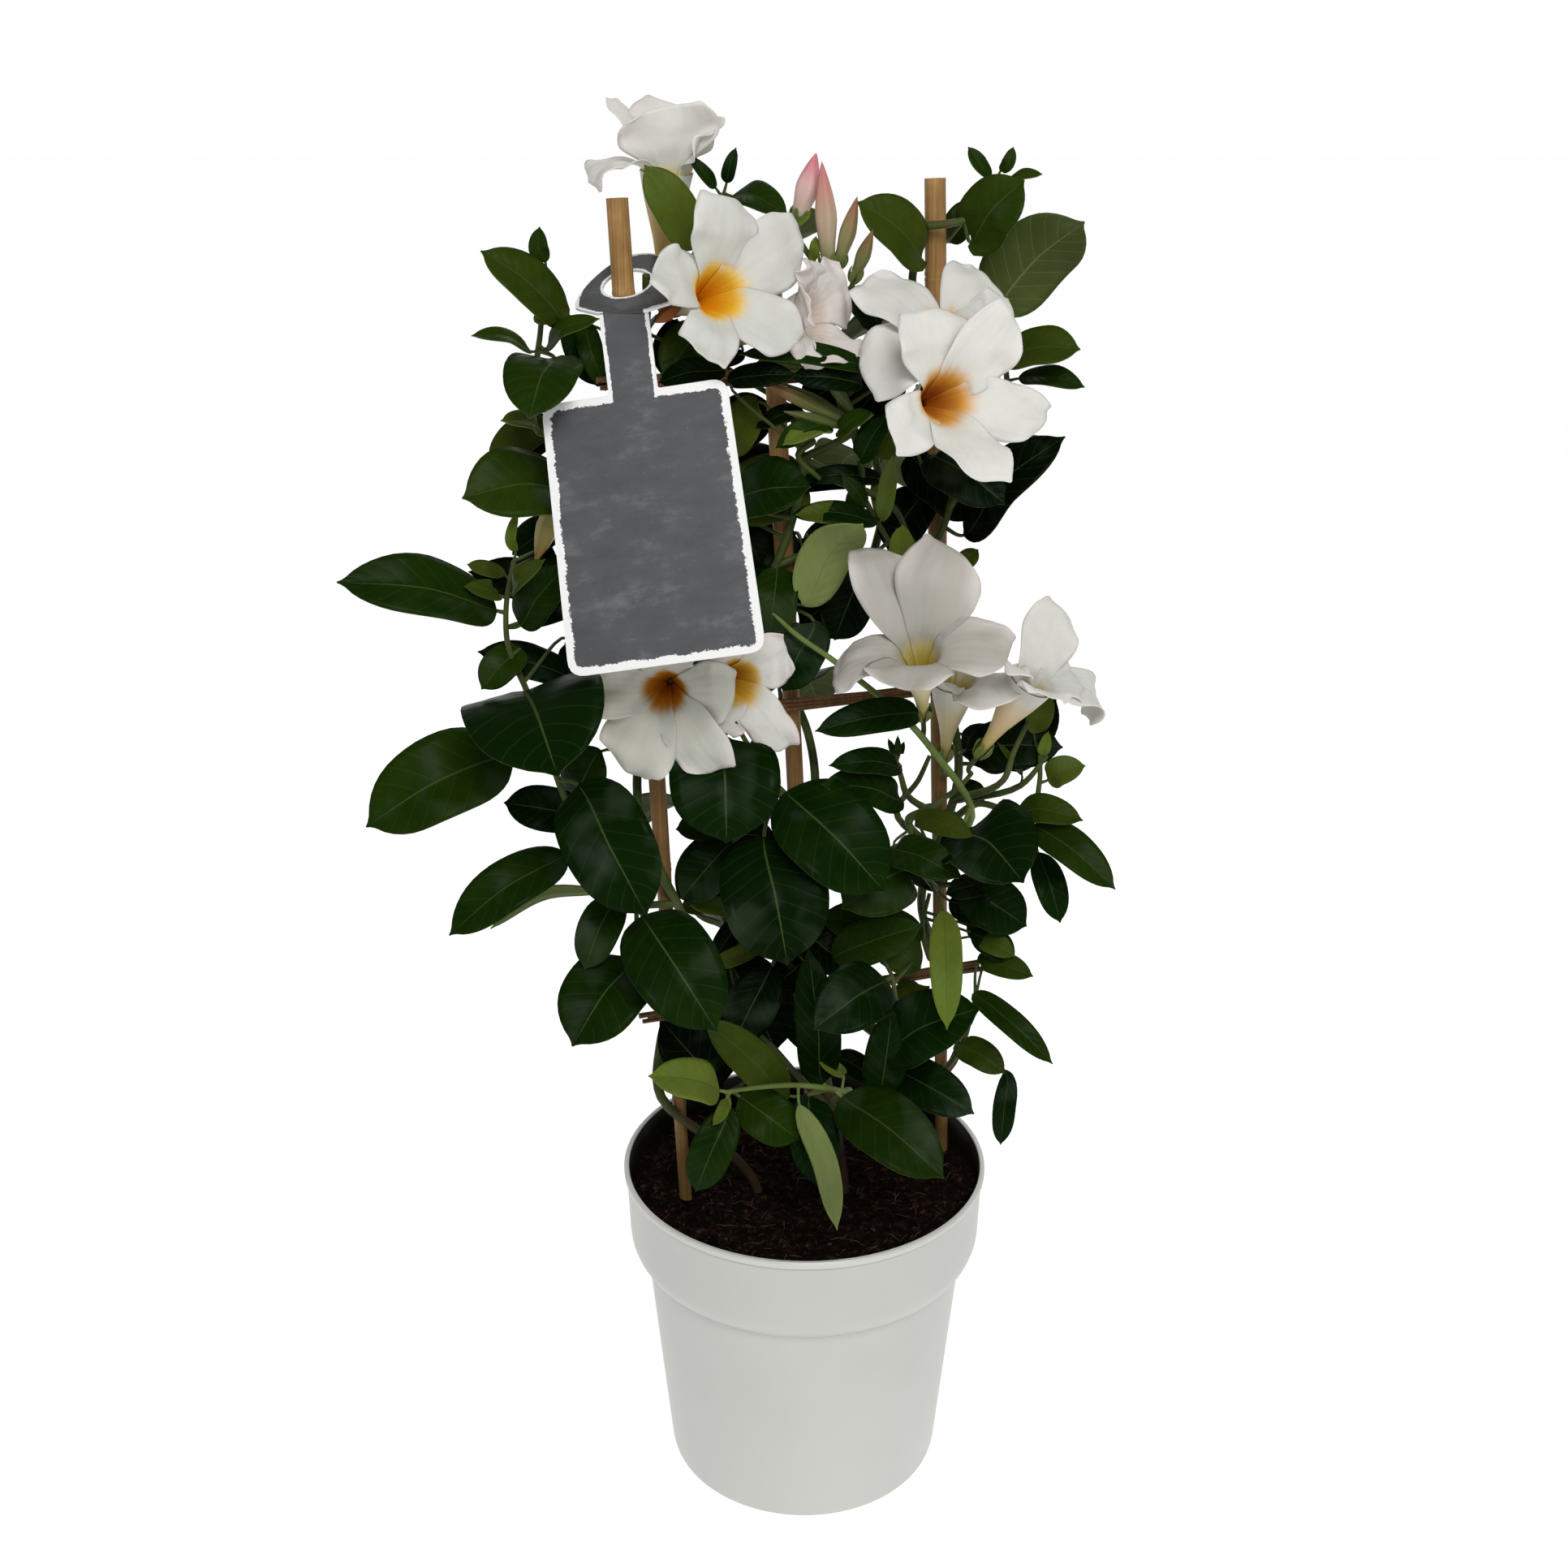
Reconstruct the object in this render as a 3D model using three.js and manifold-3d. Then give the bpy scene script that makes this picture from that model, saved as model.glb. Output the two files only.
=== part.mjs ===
// Mandevilla in a round nursery pot, climbing on a flat cane rack.
// Millimetres, +Z up. The origin is the middle of the pot's flat underside.
// The viewer's side of the plant is -Y, and +X is to the viewer's right.

import * as THREE from 'three';
import { mergeVertices } from 'three/addons/utils/BufferGeometryUtils.js';
import Module from 'manifold-3d';

const wasm = await Module();
wasm.setup();

// ---- driving dimensions ----

const gap = 0.4; // free space between one piece and the next

const potHeight = 156.5;
const potRimRadius = 85;
const potBaseRadius = 65;
const potBandDrop = 45; // from the lip down to the step under the rim band
const potWall = 2.4;
const potFloor = 3.2;
const potSides = 24;
const soilHeight = 144.5;

const caneFootRadius = 3.1; // where a cane enters the soil
const caneTopRadius = 4.6;
const barHalfHeight = 3;
const barHalfDepth = 2.2;

const bladeThickness = 0.8;
const bladeFold = 0.3; // rise of a blade's halves above its midrib, for each millimetre outward
const bladeArch = 0.14; // rise of a blade's middle, as a share of its length
const petioleThickness = 1.8;
const petioleHalfWidth = 1;
const shortestPetiole = 4;
const stemRadius = 2.2;
const shootRadius = 1.6;
const pedicelRadius = 1.2;
const windingGap = 3; // between a winding stem and the cane inside it

const petalThickness = 0.8;
const tubeLength = 46;
const mouthRadius = 11;

// The rack's three canes, from the soil's surface to their tops.
// Under the soil they lean inward, clear of the pot's wall.
const canes = {
  left: {
    foot: [-48, -14, 20],
    bend: [-53, -16, 112],
    low: [-55.5, -16.5, soilHeight],
    top: [-73, -16.5, 588],
  },
  middle: {
    foot: [7, 4.5, 20],
    bend: [6, 4.5, 112],
    low: [5, 4.5, soilHeight],
    top: [-16, 4.5, 578],
  },
  right: {
    foot: [48, 18, 20],
    bend: [59.5, 22.5, 112],
    low: [67.5, 25.5, soilHeight],
    top: [51, 25.5, 594],
  },
};

// Cross-bars of split cane, tied to the front of the canes: height and overhang at each end.
const bars = {
  low: { height: 244, leftOverhang: 17, rightOverhang: 20 },
  middle: { height: 382, leftOverhang: 15, rightOverhang: 16 },
  top: { height: 520, leftOverhang: 15, rightOverhang: 15 },
};

// ---- small helpers ----

const up = new THREE.Vector3(0, 0, 1);

function vector(point) {
  return new THREE.Vector3(point[0], point[1], point[2]);
}

function smoothCurve(points) {
  return new THREE.CatmullRomCurve3(points, false, 'centripetal');
}

function turned(degrees) {
  return THREE.MathUtils.degToRad(degrees);
}

// Makes a closed manifold-3d solid from a three.js geometry.
function solidFrom(geometry) {
  const bare = geometry.clone();
  bare.deleteAttribute('normal');
  bare.deleteAttribute('uv');
  const merged = mergeVertices(bare, 1e-4);
  const corners = merged.getAttribute('position').array;
  const index = merged.index.array;
  const triangles = [];
  let volume = 0;
  for (let i = 0; i < index.length; i += 3) {
    const [a, b, c] = [index[i], index[i + 1], index[i + 2]];
    if (a === b || b === c || c === a) {
      continue;
    }
    triangles.push(a, b, c);
    const corner = (k) => new THREE.Vector3().fromArray(corners, 3 * k);
    volume += corner(a).dot(corner(b).cross(corner(c)));
  }
  if (volume < 0) {
    triangles.reverse();
  }
  const vertProperties = new Float32Array(corners);
  const triVerts = new Uint32Array(triangles);
  return new wasm.Manifold(new wasm.Mesh({ numProp: 3, vertProperties, triVerts }));
}

// Turns a solid back into a geometry, keeping its largest body only.
function geometryFrom(solid) {
  const bodies = solid.decompose().sort((a, b) => b.volume() - a.volume());
  const mesh = bodies[0].getMesh();
  const geometry = new THREE.BufferGeometry();
  geometry.setAttribute('position', new THREE.BufferAttribute(new Float32Array(mesh.vertProperties), 3));
  geometry.setIndex(new THREE.BufferAttribute(new Uint32Array(mesh.triVerts), 1));
  return geometry;
}

function joined(solids) {
  return wasm.Manifold.union(solids);
}

// A rod of round section along a list of points.
function rod(points, radius, sides, steps) {
  const section = new THREE.Shape();
  for (let i = 0; i < sides; i += 1) {
    const angle = (2 * Math.PI * i) / sides;
    const point = new THREE.Vector2(radius * Math.cos(angle), radius * Math.sin(angle));
    if (i === 0) {
      section.moveTo(point.x, point.y);
    } else {
      section.lineTo(point.x, point.y);
    }
  }
  section.closePath();
  const extrudePath = smoothCurve(points);
  return new THREE.ExtrudeGeometry(section, { steps, extrudePath, bevelEnabled: false });
}

// A thin plate bent to shape: place(across, along, through) gives a point for across -1..1,
// along 0..rows and through -1..1.
function bentPlate(columns, rows, place) {
  const plate = new THREE.BoxGeometry(2, rows, 2, columns, rows, 1);
  const position = plate.getAttribute('position');
  for (let i = 0; i < position.count; i += 1) {
    const point = place(position.getX(i), position.getY(i) + rows / 2, position.getZ(i));
    position.setXYZ(i, point.x, point.y, point.z);
  }
  return plate;
}

// ---- pot and soil ----

const bandFoot = potHeight - potBandDrop;
const stepRadius = 75.2;
const bandFootRadius = stepRadius + 7.6;
const drainHoleRadius = 4.5;
const drainHoleCircle = 44;
const drainHoles = 6;

// Outer radius of the pot's tapering wall, below the rim band.
function wallRadius(height) {
  return potBaseRadius + ((stepRadius - potBaseRadius) * height) / bandFoot;
}

function potGeometry() {
  const profile = [
    [0, 0],
    [potBaseRadius - 3.5, 0],
    [wallRadius(3.5), 3.5],
    [wallRadius(bandFoot), bandFoot],
    [stepRadius + 5.2, bandFoot + 4],
    [bandFootRadius, bandFoot + 12],
    [potRimRadius - 1.2, potHeight - 4],
    [potRimRadius, potHeight - 2.4],
    [potRimRadius, potHeight],
    [potRimRadius - potWall, potHeight],
    [bandFootRadius - potWall, bandFoot + 12],
    [stepRadius + 4 - potWall, bandFoot + 6],
    [wallRadius(bandFoot) - potWall, bandFoot],
    [wallRadius(potFloor) - potWall, potFloor],
    [0, potFloor],
  ];
  const outline = profile.map(([radius, height]) => new THREE.Vector2(radius, height));
  const pot = new THREE.LatheGeometry(outline, potSides);
  pot.rotateX(Math.PI / 2);
  const holes = [];
  for (let i = 0; i < drainHoles; i += 1) {
    const hole = new THREE.CylinderGeometry(drainHoleRadius, drainHoleRadius, 5 * potFloor, 6);
    const angle = (2 * Math.PI * i) / drainHoles;
    hole.rotateX(Math.PI / 2);
    hole.translate(drainHoleCircle * Math.cos(angle), drainHoleCircle * Math.sin(angle), 0);
    holes.push(solidFrom(hole));
  }
  return geometryFrom(solidFrom(pot).subtract(joined(holes)));
}

// Potting soil filling the pot, with a rough top.
function soilSolid() {
  const inner = (height) => wallRadius(height) - potWall - gap;
  const topRadius = 80.6;
  const profile = [
    [0, potFloor + gap],
    [inner(potFloor + gap), potFloor + gap],
    [inner(bandFoot), bandFoot],
    [inner(bandFoot) + 3.6, bandFoot + 6],
    [bandFootRadius - potWall - gap, bandFoot + 12.6],
    [topRadius, soilHeight - 1],
    [60, soilHeight],
    [38, soilHeight],
    [18, soilHeight],
    [0, soilHeight],
  ];
  const outline = profile.map(([radius, height]) => new THREE.Vector2(radius, height));
  const soil = new THREE.LatheGeometry(outline, potSides / 2);
  soil.rotateX(Math.PI / 2);
  const position = soil.getAttribute('position');
  for (let i = 0; i < position.count; i += 1) {
    const [x, y, z] = [position.getX(i), position.getY(i), position.getZ(i)];
    if (z > soilHeight - 0.5) {
      const humps = 1.6 * Math.sin(0.31 * x + 0.7) * Math.cos(0.27 * y);
      const crumbs = 0.8 * Math.sin(0.9 * x + 0.8 * y);
      position.setZ(i, z + humps + crumbs);
    }
  }
  return solidFrom(soil);
}

// ---- rack ----

function canePoint(cane, height) {
  const share = (height - soilHeight) / (cane.top[2] - soilHeight);
  return vector(cane.low).lerp(vector(cane.top), share);
}

function caneRadiusAt(cane, height) {
  const share = (height - soilHeight) / (cane.top[2] - soilHeight);
  return THREE.MathUtils.lerp(caneFootRadius, caneTopRadius, THREE.MathUtils.clamp(share, 0, 1));
}

// A cane: level rings from its foot in the soil to its top, thicker towards the top.
function caneSolid(cane, grow) {
  const rings = [
    { centre: vector(cane.foot), radius: caneFootRadius },
    { centre: vector(cane.bend), radius: caneFootRadius },
  ];
  for (let i = 0; i <= 4; i += 1) {
    const height = THREE.MathUtils.lerp(soilHeight, cane.top[2], i / 4);
    rings.push({ centre: canePoint(cane, height), radius: caneRadiusAt(cane, height) });
  }
  rings[0].centre.z -= grow;
  rings.at(-1).centre.z += grow;
  const last = rings.length - 1;
  const tube = new THREE.CylinderGeometry(1, 1, last, 8, last);
  tube.rotateX(Math.PI / 2);
  const position = tube.getAttribute('position');
  for (let i = 0; i < position.count; i += 1) {
    const { centre, radius } = rings[Math.round(position.getZ(i) + last / 2)];
    const x = centre.x + position.getX(i) * (radius + grow);
    const y = centre.y + position.getY(i) * (radius + grow);
    position.setXYZ(i, x, y, centre.z);
  }
  return solidFrom(tube);
}

function barSolid(bar, grow) {
  const left = canePoint(canes.left, bar.height);
  const right = canePoint(canes.right, bar.height);
  const along = right.clone().sub(left).normalize();
  const forward = new THREE.Vector3(along.y, -along.x, 0).normalize();
  const length = left.distanceTo(right) + bar.leftOverhang + bar.rightOverhang + 2 * grow;
  const halfHeight = barHalfHeight + grow;
  const halfDepth = barHalfDepth + grow;
  const section = new THREE.Shape();
  section.moveTo(-halfDepth, -halfHeight);
  section.lineTo(halfDepth * 0.6, -halfHeight);
  section.lineTo(halfDepth, -halfHeight * 0.5);
  section.lineTo(halfDepth * 0.8, 0);
  section.lineTo(halfDepth, halfHeight * 0.5);
  section.lineTo(halfDepth * 0.6, halfHeight);
  section.lineTo(-halfDepth, halfHeight);
  section.closePath();
  const geometry = new THREE.ExtrudeGeometry(section, { depth: length, steps: 1, bevelEnabled: false });
  const start = left.clone().addScaledVector(along, -bar.leftOverhang - grow);
  start.addScaledVector(forward, caneRadiusAt(canes.left, bar.height) + gap + barHalfDepth);
  geometry.applyMatrix4(new THREE.Matrix4().makeBasis(forward, up, along).setPosition(start));
  return solidFrom(geometry);
}

// ---- hang tag ----

const tagBend = vector([-70.5, -32, 547.7]);
const tagThickness = 1;
const tagCollar = { halfWidth: 20.5, length: 39.5, holeAcross: -2, holeAlong: 18.5, hole: 9.4 };
const tagHandle = { halfWidth: 9.5, length: 31 };
const tagBoard = { topHalfWidth: 35.8, endHalfWidth: 38, end: 135.4, corner: 5 };
const tagFold = new THREE.Vector3(0.978, -0.051, 0.151).normalize();

// A flat sheet with its outline in (across, along) millimetres, laid from the bend along a direction.
function tagSheet(outline, hole, along, grow) {
  const shape = new THREE.Shape(outline.map(([x, y]) => new THREE.Vector2(x, y)));
  if (hole) {
    const opening = new THREE.Path();
    opening.absarc(hole.x, hole.y, hole.radius - grow, 0, 2 * Math.PI, true);
    shape.holes.push(opening);
  }
  const depth = tagThickness + 2 * grow;
  const sheet = new THREE.ExtrudeGeometry(shape, { depth, bevelEnabled: false, curveSegments: 6 });
  sheet.translate(0, 0, -depth / 2);
  const normal = new THREE.Vector3().crossVectors(tagFold, along).normalize();
  const side = new THREE.Vector3().crossVectors(along, normal);
  sheet.applyMatrix4(new THREE.Matrix4().makeBasis(side, along, normal).setPosition(tagBend));
  return solidFrom(sheet);
}

// The collar that hangs on the cane: widest near the fold and narrowing to a rounded end.
function collarOutline(grow) {
  const wide = tagCollar.halfWidth + grow;
  const long = tagCollar.length + grow;
  const half = [
    [tagHandle.halfWidth + grow, -1.4],
    [wide, 0.1 * long],
    [wide, 0.3 * long],
    [0.84 * wide, 0.58 * long],
    [0.56 * wide, 0.84 * long],
    [0.24 * wide, long],
  ];
  return [...half, ...half.map(([x, y]) => [-x, y]).reverse()];
}

function tagSolid(grow) {
  const upward = new THREE.Vector3(0.12, 0.88, 0.47).normalize();
  const downward = new THREE.Vector3(0.135, -0.4, -1).normalize();
  const collar = collarOutline(grow);
  const neck = tagHandle.halfWidth + grow;
  const top = tagHandle.length - grow;
  const topSide = tagBoard.topHalfWidth + grow;
  const endSide = tagBoard.endHalfWidth + grow;
  const end = tagBoard.end + grow;
  const { corner } = tagBoard;
  const half = [
    [neck, -0.6],
    [neck, top],
    [topSide - corner, top],
    [topSide, top + corner],
    [endSide, end - corner],
    [endSide - corner, end],
  ];
  const board = [...half, ...half.map(([x, y]) => [-x, y]).reverse()];
  const opening = { x: tagCollar.holeAcross, y: tagCollar.holeAlong, radius: tagCollar.hole };
  const plate = tagSheet(collar, opening, upward, grow);
  const body = tagSheet(board, null, downward, grow);
  return plate.add(body);
}

// ---- leaves and stems ----

// Widths of a blade as shares of its full width, at places along it: narrow blades have fewer.
const bladeOutlines = [
  { below: 9, places: [0.45, 1], widths: [1, 0] },
  { below: 32, places: [0.28, 0.68, 1], widths: [0.95, 0.75, 0] },
  { below: Infinity, places: [0.2, 0.48, 0.8, 1], widths: [0.84, 1, 0.58, 0] },
];

// A leaf on its petiole. base is where the blade starts, tip its point, face the slant of its upper
// side in degrees: 0 looks up, 90 looks at the viewer and negative values show the underside.
function leafSolid([basePoint, tipPoint, width, face], stemPoint, grow) {
  const base = vector(basePoint);
  const tip = vector(tipPoint);
  const reach = tip.clone().sub(base);
  const length = reach.length();
  const facing = new THREE.Vector3(0, -Math.sin(turned(face)), Math.cos(turned(face)));
  const rise = facing.clone().addScaledVector(reach, -facing.dot(reach) / length ** 2).normalize();
  const middle = base.clone().lerp(tip, 0.5).addScaledVector(rise, bladeArch * length);
  if (stemPoint.distanceTo(base) < shortestPetiole) {
    base.copy(stemPoint).addScaledVector(reach, shortestPetiole / length);
  }
  const stalk = base.clone().sub(stemPoint);
  const foot = stemPoint.clone().addScaledVector(stalk, (0.45 * shootRadius) / stalk.length());
  const curve = smoothCurve([foot, base, middle, tip]);
  const { widths, places } = bladeOutlines.find((outline) => width < outline.below);
  const stations = [
    { share: 0, half: petioleHalfWidth, thick: petioleThickness, fold: 0 },
    { share: 1 / 3, half: petioleHalfWidth, thick: petioleThickness, fold: 0 },
  ];
  places.forEach((place, i) => {
    const half = (width / 2) * widths[i];
    stations.push({ share: (1 + 2 * place) / 3, half, thick: bladeThickness, fold: bladeFold });
  });
  const frames = stations.map(({ share, half, thick, fold }) => {
    const along = curve.getTangent(share);
    const normal = facing.clone().addScaledVector(along, -facing.dot(along)).normalize();
    const side = new THREE.Vector3().crossVectors(along, normal);
    const centre = curve.getPoint(share);
    return { centre, side, normal, half, thick, fold };
  });
  const geometry = bentPlate(width < 26 ? 1 : 2, stations.length - 1, (across, along, through) => {
    const frame = frames[Math.round(along)];
    const half = frame.half + (frame.half > 0 ? grow : 0);
    const lift = Math.abs(across) * frame.half * frame.fold;
    const offset = lift + through * (frame.thick / 2 + grow);
    const point = frame.centre.clone().addScaledVector(frame.side, across * half);
    return point.addScaledVector(frame.normal, offset);
  });
  return solidFrom(geometry);
}

// Points of a stem that winds round a cane between two heights, passing behind it at every bar.
// hand is 1 where it turns anticlockwise seen from above, going up.
function windRound(cane, from, to, hand) {
  const points = [];
  const pitch = bars.middle.height - bars.low.height;
  const count = Math.round((6 * (to - from)) / pitch);
  for (let i = 0; i <= count; i += 1) {
    const height = THREE.MathUtils.lerp(from, to, i / count);
    const angle = Math.PI / 2 + (hand * 2 * Math.PI * (height - bars.low.height)) / pitch;
    const point = canePoint(cane, height);
    const radius = caneRadiusAt(cane, height) + stemRadius + windingGap;
    point.x += radius * Math.cos(angle);
    point.y += radius * Math.sin(angle);
    points.push(point);
  }
  return points;
}

// Whether a straight stalk between two points stays clear of the rack's canes.
function clearOfCanes(start, end) {
  for (const share of [0.15, 0.3, 0.45, 0.6, 0.75, 0.9]) {
    const point = start.clone().lerp(end, share);
    for (const cane of Object.values(canes)) {
      const axis = canePoint(cane, point.z);
      if (Math.hypot(point.x - axis.x, point.y - axis.y) < caneRadiusAt(cane, point.z) + 2) {
        return false;
      }
    }
  }
  return true;
}

// The stem point that a leaf or flower stalk grows from.
function nearestPoint(paths, target) {
  let best = null;
  for (const path of paths) {
    for (const point of path) {
      const distance = point.distanceTo(target);
      if ((best === null || distance < best.distance) && clearOfCanes(point, target)) {
        best = { point, distance };
      }
    }
  }
  return best.point;
}

// ---- blooms and buds ----

// Axes of a flower: its own axis, the way its 90 degree mark points and the way its 0 mark points.
function bloomMatrix(bloom) {
  const axis = vector(bloom.axis).normalize();
  const mark = axis.z > 0.85 ? new THREE.Vector3(0, 1, 0) : up.clone();
  mark.addScaledVector(axis, -mark.dot(axis)).normalize();
  const right = new THREE.Vector3().crossVectors(mark, axis);
  return new THREE.Matrix4().makeBasis(right, mark, axis).setPosition(vector(bloom.mouth));
}

function tubeBase(bloom) {
  return vector(bloom.mouth).addScaledVector(vector(bloom.axis).normalize(), -tubeLength);
}

function bloomSolid(bloom, grow) {
  const profile = [
    [0, -tubeLength - grow],
    [1.9 + grow, -tubeLength - grow],
    [2.6 + grow, -27],
    [8.6 + grow, -12],
    [mouthRadius + grow, 0],
    [mouthRadius - 1.1, 0.4 + grow],
    [0, -25],
  ];
  const outline = profile.map(([radius, height]) => new THREE.Vector2(radius, height));
  const funnel = new THREE.LatheGeometry(outline, 8);
  funnel.rotateX(Math.PI / 2);
  const parts = [solidFrom(funnel)];
  for (const petal of bloom.petals) {
    parts.push(solidFrom(petalGeometry(petal, grow)));
  }
  return joined(parts).transform(bloomMatrix(bloom).elements);
}

// One broad petal, rooted in the funnel's mouth, with its point at one corner. angle is its place
// round the flower, open its angle from the flower's axis and curl how far its end bends back.
function petalGeometry([angle, reach, halfWidth, open, curl], grow) {
  const near = turned(open - 12);
  const far = turned(open + 12 + curl);
  const thick = petalThickness / 2 + grow;
  const outline = [
    { left: [0, 4.2], middle: [0, 0], right: [0, -4.2] },
    { left: [0.5, halfWidth], middle: [0.56, 0], right: [0.5, -halfWidth] },
    { left: [1, halfWidth * 0.62], middle: [0.93, 0], right: [0.78, -halfWidth * 0.72] },
  ];
  const petal = bentPlate(2, 2, (across, along, through) => {
    const row = outline[Math.round(along)];
    const [place, side] = across < 0 ? row.right : across > 0 ? row.left : row.middle;
    const first = Math.min(place, 0.56) * (reach + grow);
    const second = Math.max(place - 0.56, 0) * (reach + grow);
    const slant = place > 0.56 ? far : near;
    const offset = through * thick;
    const out = first * Math.sin(near) + second * Math.sin(far) + offset * Math.cos(slant);
    const rise = first * Math.cos(near) + second * Math.cos(far) - offset * Math.sin(slant);
    const tilt = along === 0 ? 0 : 0.14 * side;
    return new THREE.Vector3(mouthRadius - 1.2 + out, side + Math.sign(side) * grow, rise + tilt - 0.9);
  });
  petal.rotateZ(turned(angle));
  return petal;
}

// Each flower has its mouth's centre, its axis and its petals: angle, reach, half width, open, curl.
const blooms = {
  bloom_top: {
    mouth: [-55, 2, 599],
    axis: [0.08, -0.12, 0.99],
    petals: [
      [-12, 20, 13, 50, -5],
      [90, 24, 16, 25, -20],
      [165, 28, 11, 20, 5],
      [210, 27, 12, 95, 25],
      [-85, 27, 19, 20, -20],
    ],
  },
  bloom_face_left: {
    mouth: [-34, -36, 555],
    axis: [0.49, -0.84, 0.25],
    petals: [
      [89, 30, 15, 54, 7],
      [29, 34, 14, 75, 7],
      [-39, 28, 11, 77, -1],
      [-116, 22, 11, 67, 5],
      [162, 24, 11, 71, 6],
    ],
  },
  bloom_half_open: {
    mouth: [2, -17, 545],
    axis: [0.79, -0.53, 0.31],
    petals: [
      [88, 13, 11, 48, 5],
      [25, 14, 15, 55, 2],
      [-73, 16, 12, 54, 2],
      [-125, 13, 9, 98, 19],
      [165, 12, 9, 30, 0],
    ],
  },
  bloom_right_front: {
    mouth: [52, -38, 516],
    axis: [0.37, -0.9, 0.24],
    petals: [
      [104, 28, 17, 68, 5],
      [49, 34, 13, 64, 5],
      [-15, 37, 11, 82, 7],
      [-86, 40, 12, 43, -4],
      [-152, 24, 11, 69, 4],
    ],
  },
  bloom_right_behind: {
    mouth: [54, -17, 538],
    axis: [0.14, -0.75, 0.64],
    petals: [
      [144, 32, 13, 86, 7],
      [49, 24, 16, 84, 6],
      [206, 33, 15, 95, 20],
      [15, 20, 11, 78, 0],
      [-75, 10, 8, 40, 0],
    ],
  },
  bloom_centre: {
    mouth: [44, -46, 419],
    axis: [-0.1, -0.57, 0.81],
    petals: [
      [120, 39, 15, 69, -1],
      [68, 36, 17, 57, -8],
      [-1, 29, 13, 87, 6],
      [-96, 26, 18, 50, 30],
      [198, 32, 11, 97, 30],
    ],
  },
  bloom_centre_behind: {
    mouth: [63, -4, 395],
    axis: [0.04, -0.35, 0.94],
    petals: [
      [-51, 27, 17, 70, 8],
      [30, 13, 9, 34, 0],
      [100, 13, 9, 30, 0],
      [170, 12, 9, 34, 0],
      [-115, 13, 9, 44, 0],
    ],
  },
  bloom_right: {
    mouth: [94, -20, 399],
    axis: [0.43, -0.31, 0.85],
    petals: [
      [29, 30, 13, 45, -4],
      [-38, 40, 11, 101, 45],
      [-34, 22, 11, 86, 21],
      [-140, 17, 11, 56, 0],
      [158, 18, 11, 54, 0],
    ],
  },
  bloom_under_tag: {
    mouth: [-58, -41, 399],
    axis: [-0.05, -1, 0.09],
    petals: [
      [-116, 30, 16, 84, 8],
      [-55, 32, 12, 83, 4],
      [3, 22, 14, 75, 12],
      [177, 26, 11, 88, 9],
      [88, 20, 13, 88, 14],
    ],
  },
  bloom_beside: {
    mouth: [-29, -25, 398],
    axis: [0.36, -0.92, 0.12],
    petals: [
      [30, 17, 12, 76, 7],
      [-57, 28, 9, 78, 8],
      [108, 13, 9, 60, 0],
      [180, 8, 7, 50, 0],
      [-115, 13, 9, 66, 4],
    ],
  },
};

// Unopened pink flower buds: foot, tip and greatest radius.
const buds = {
  bud_top_left: { foot: [-4, 8, 579], tip: [3, 6, 604], radius: 5 },
  bud_top_middle: { foot: [8, 4, 562], tip: [5, 0, 601], radius: 4.4 },
  bud_top_right: { foot: [12, 5, 562], tip: [19, 2, 588], radius: 3.8 },
  bud_top_low: { foot: [18, 0, 557], tip: [25, -5, 576], radius: 3.4 },
  bud_left_low: { foot: [-99, -23, 476], tip: [-109, -30, 450], radius: 4 },
};

function budGeometry(bud, grow) {
  const foot = vector(bud.foot);
  const axis = vector(bud.tip).sub(foot);
  const length = axis.length();
  const radius = bud.radius + grow;
  const outline = [
    new THREE.Vector2(0, -grow),
    new THREE.Vector2(radius * 0.5, -grow),
    new THREE.Vector2(radius * 0.8, length * 0.3),
    new THREE.Vector2(radius, length * 0.62),
    new THREE.Vector2(radius * 0.6, length * 0.85),
    new THREE.Vector2(0, length + grow),
  ];
  const shape = new THREE.LatheGeometry(outline, 7);
  const turn = new THREE.Quaternion().setFromUnitVectors(new THREE.Vector3(0, 1, 0), axis.normalize());
  shape.applyMatrix4(new THREE.Matrix4().compose(foot, turn, new THREE.Vector3(1, 1, 1)));
  return shape;
}

// A green cup of sepals at the foot of a flower or bud.
function calyxSolid(foot, direction, radius, length) {
  const outline = [
    new THREE.Vector2(0, -4),
    new THREE.Vector2(radius, -0.5),
    new THREE.Vector2(radius * 1.15, length),
    new THREE.Vector2(0, length),
  ];
  const cup = new THREE.LatheGeometry(outline, 4);
  const turn = new THREE.Quaternion().setFromUnitVectors(new THREE.Vector3(0, 1, 0), direction);
  cup.applyMatrix4(new THREE.Matrix4().compose(foot, turn, new THREE.Vector3(1, 1, 1)));
  return solidFrom(cup);
}

// ---- vines ----

// Each vine has a main stem, shoots that leave it, leaves and the flowers and buds that it carries.
// A leaf is [start of blade, tip, width, face].

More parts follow.
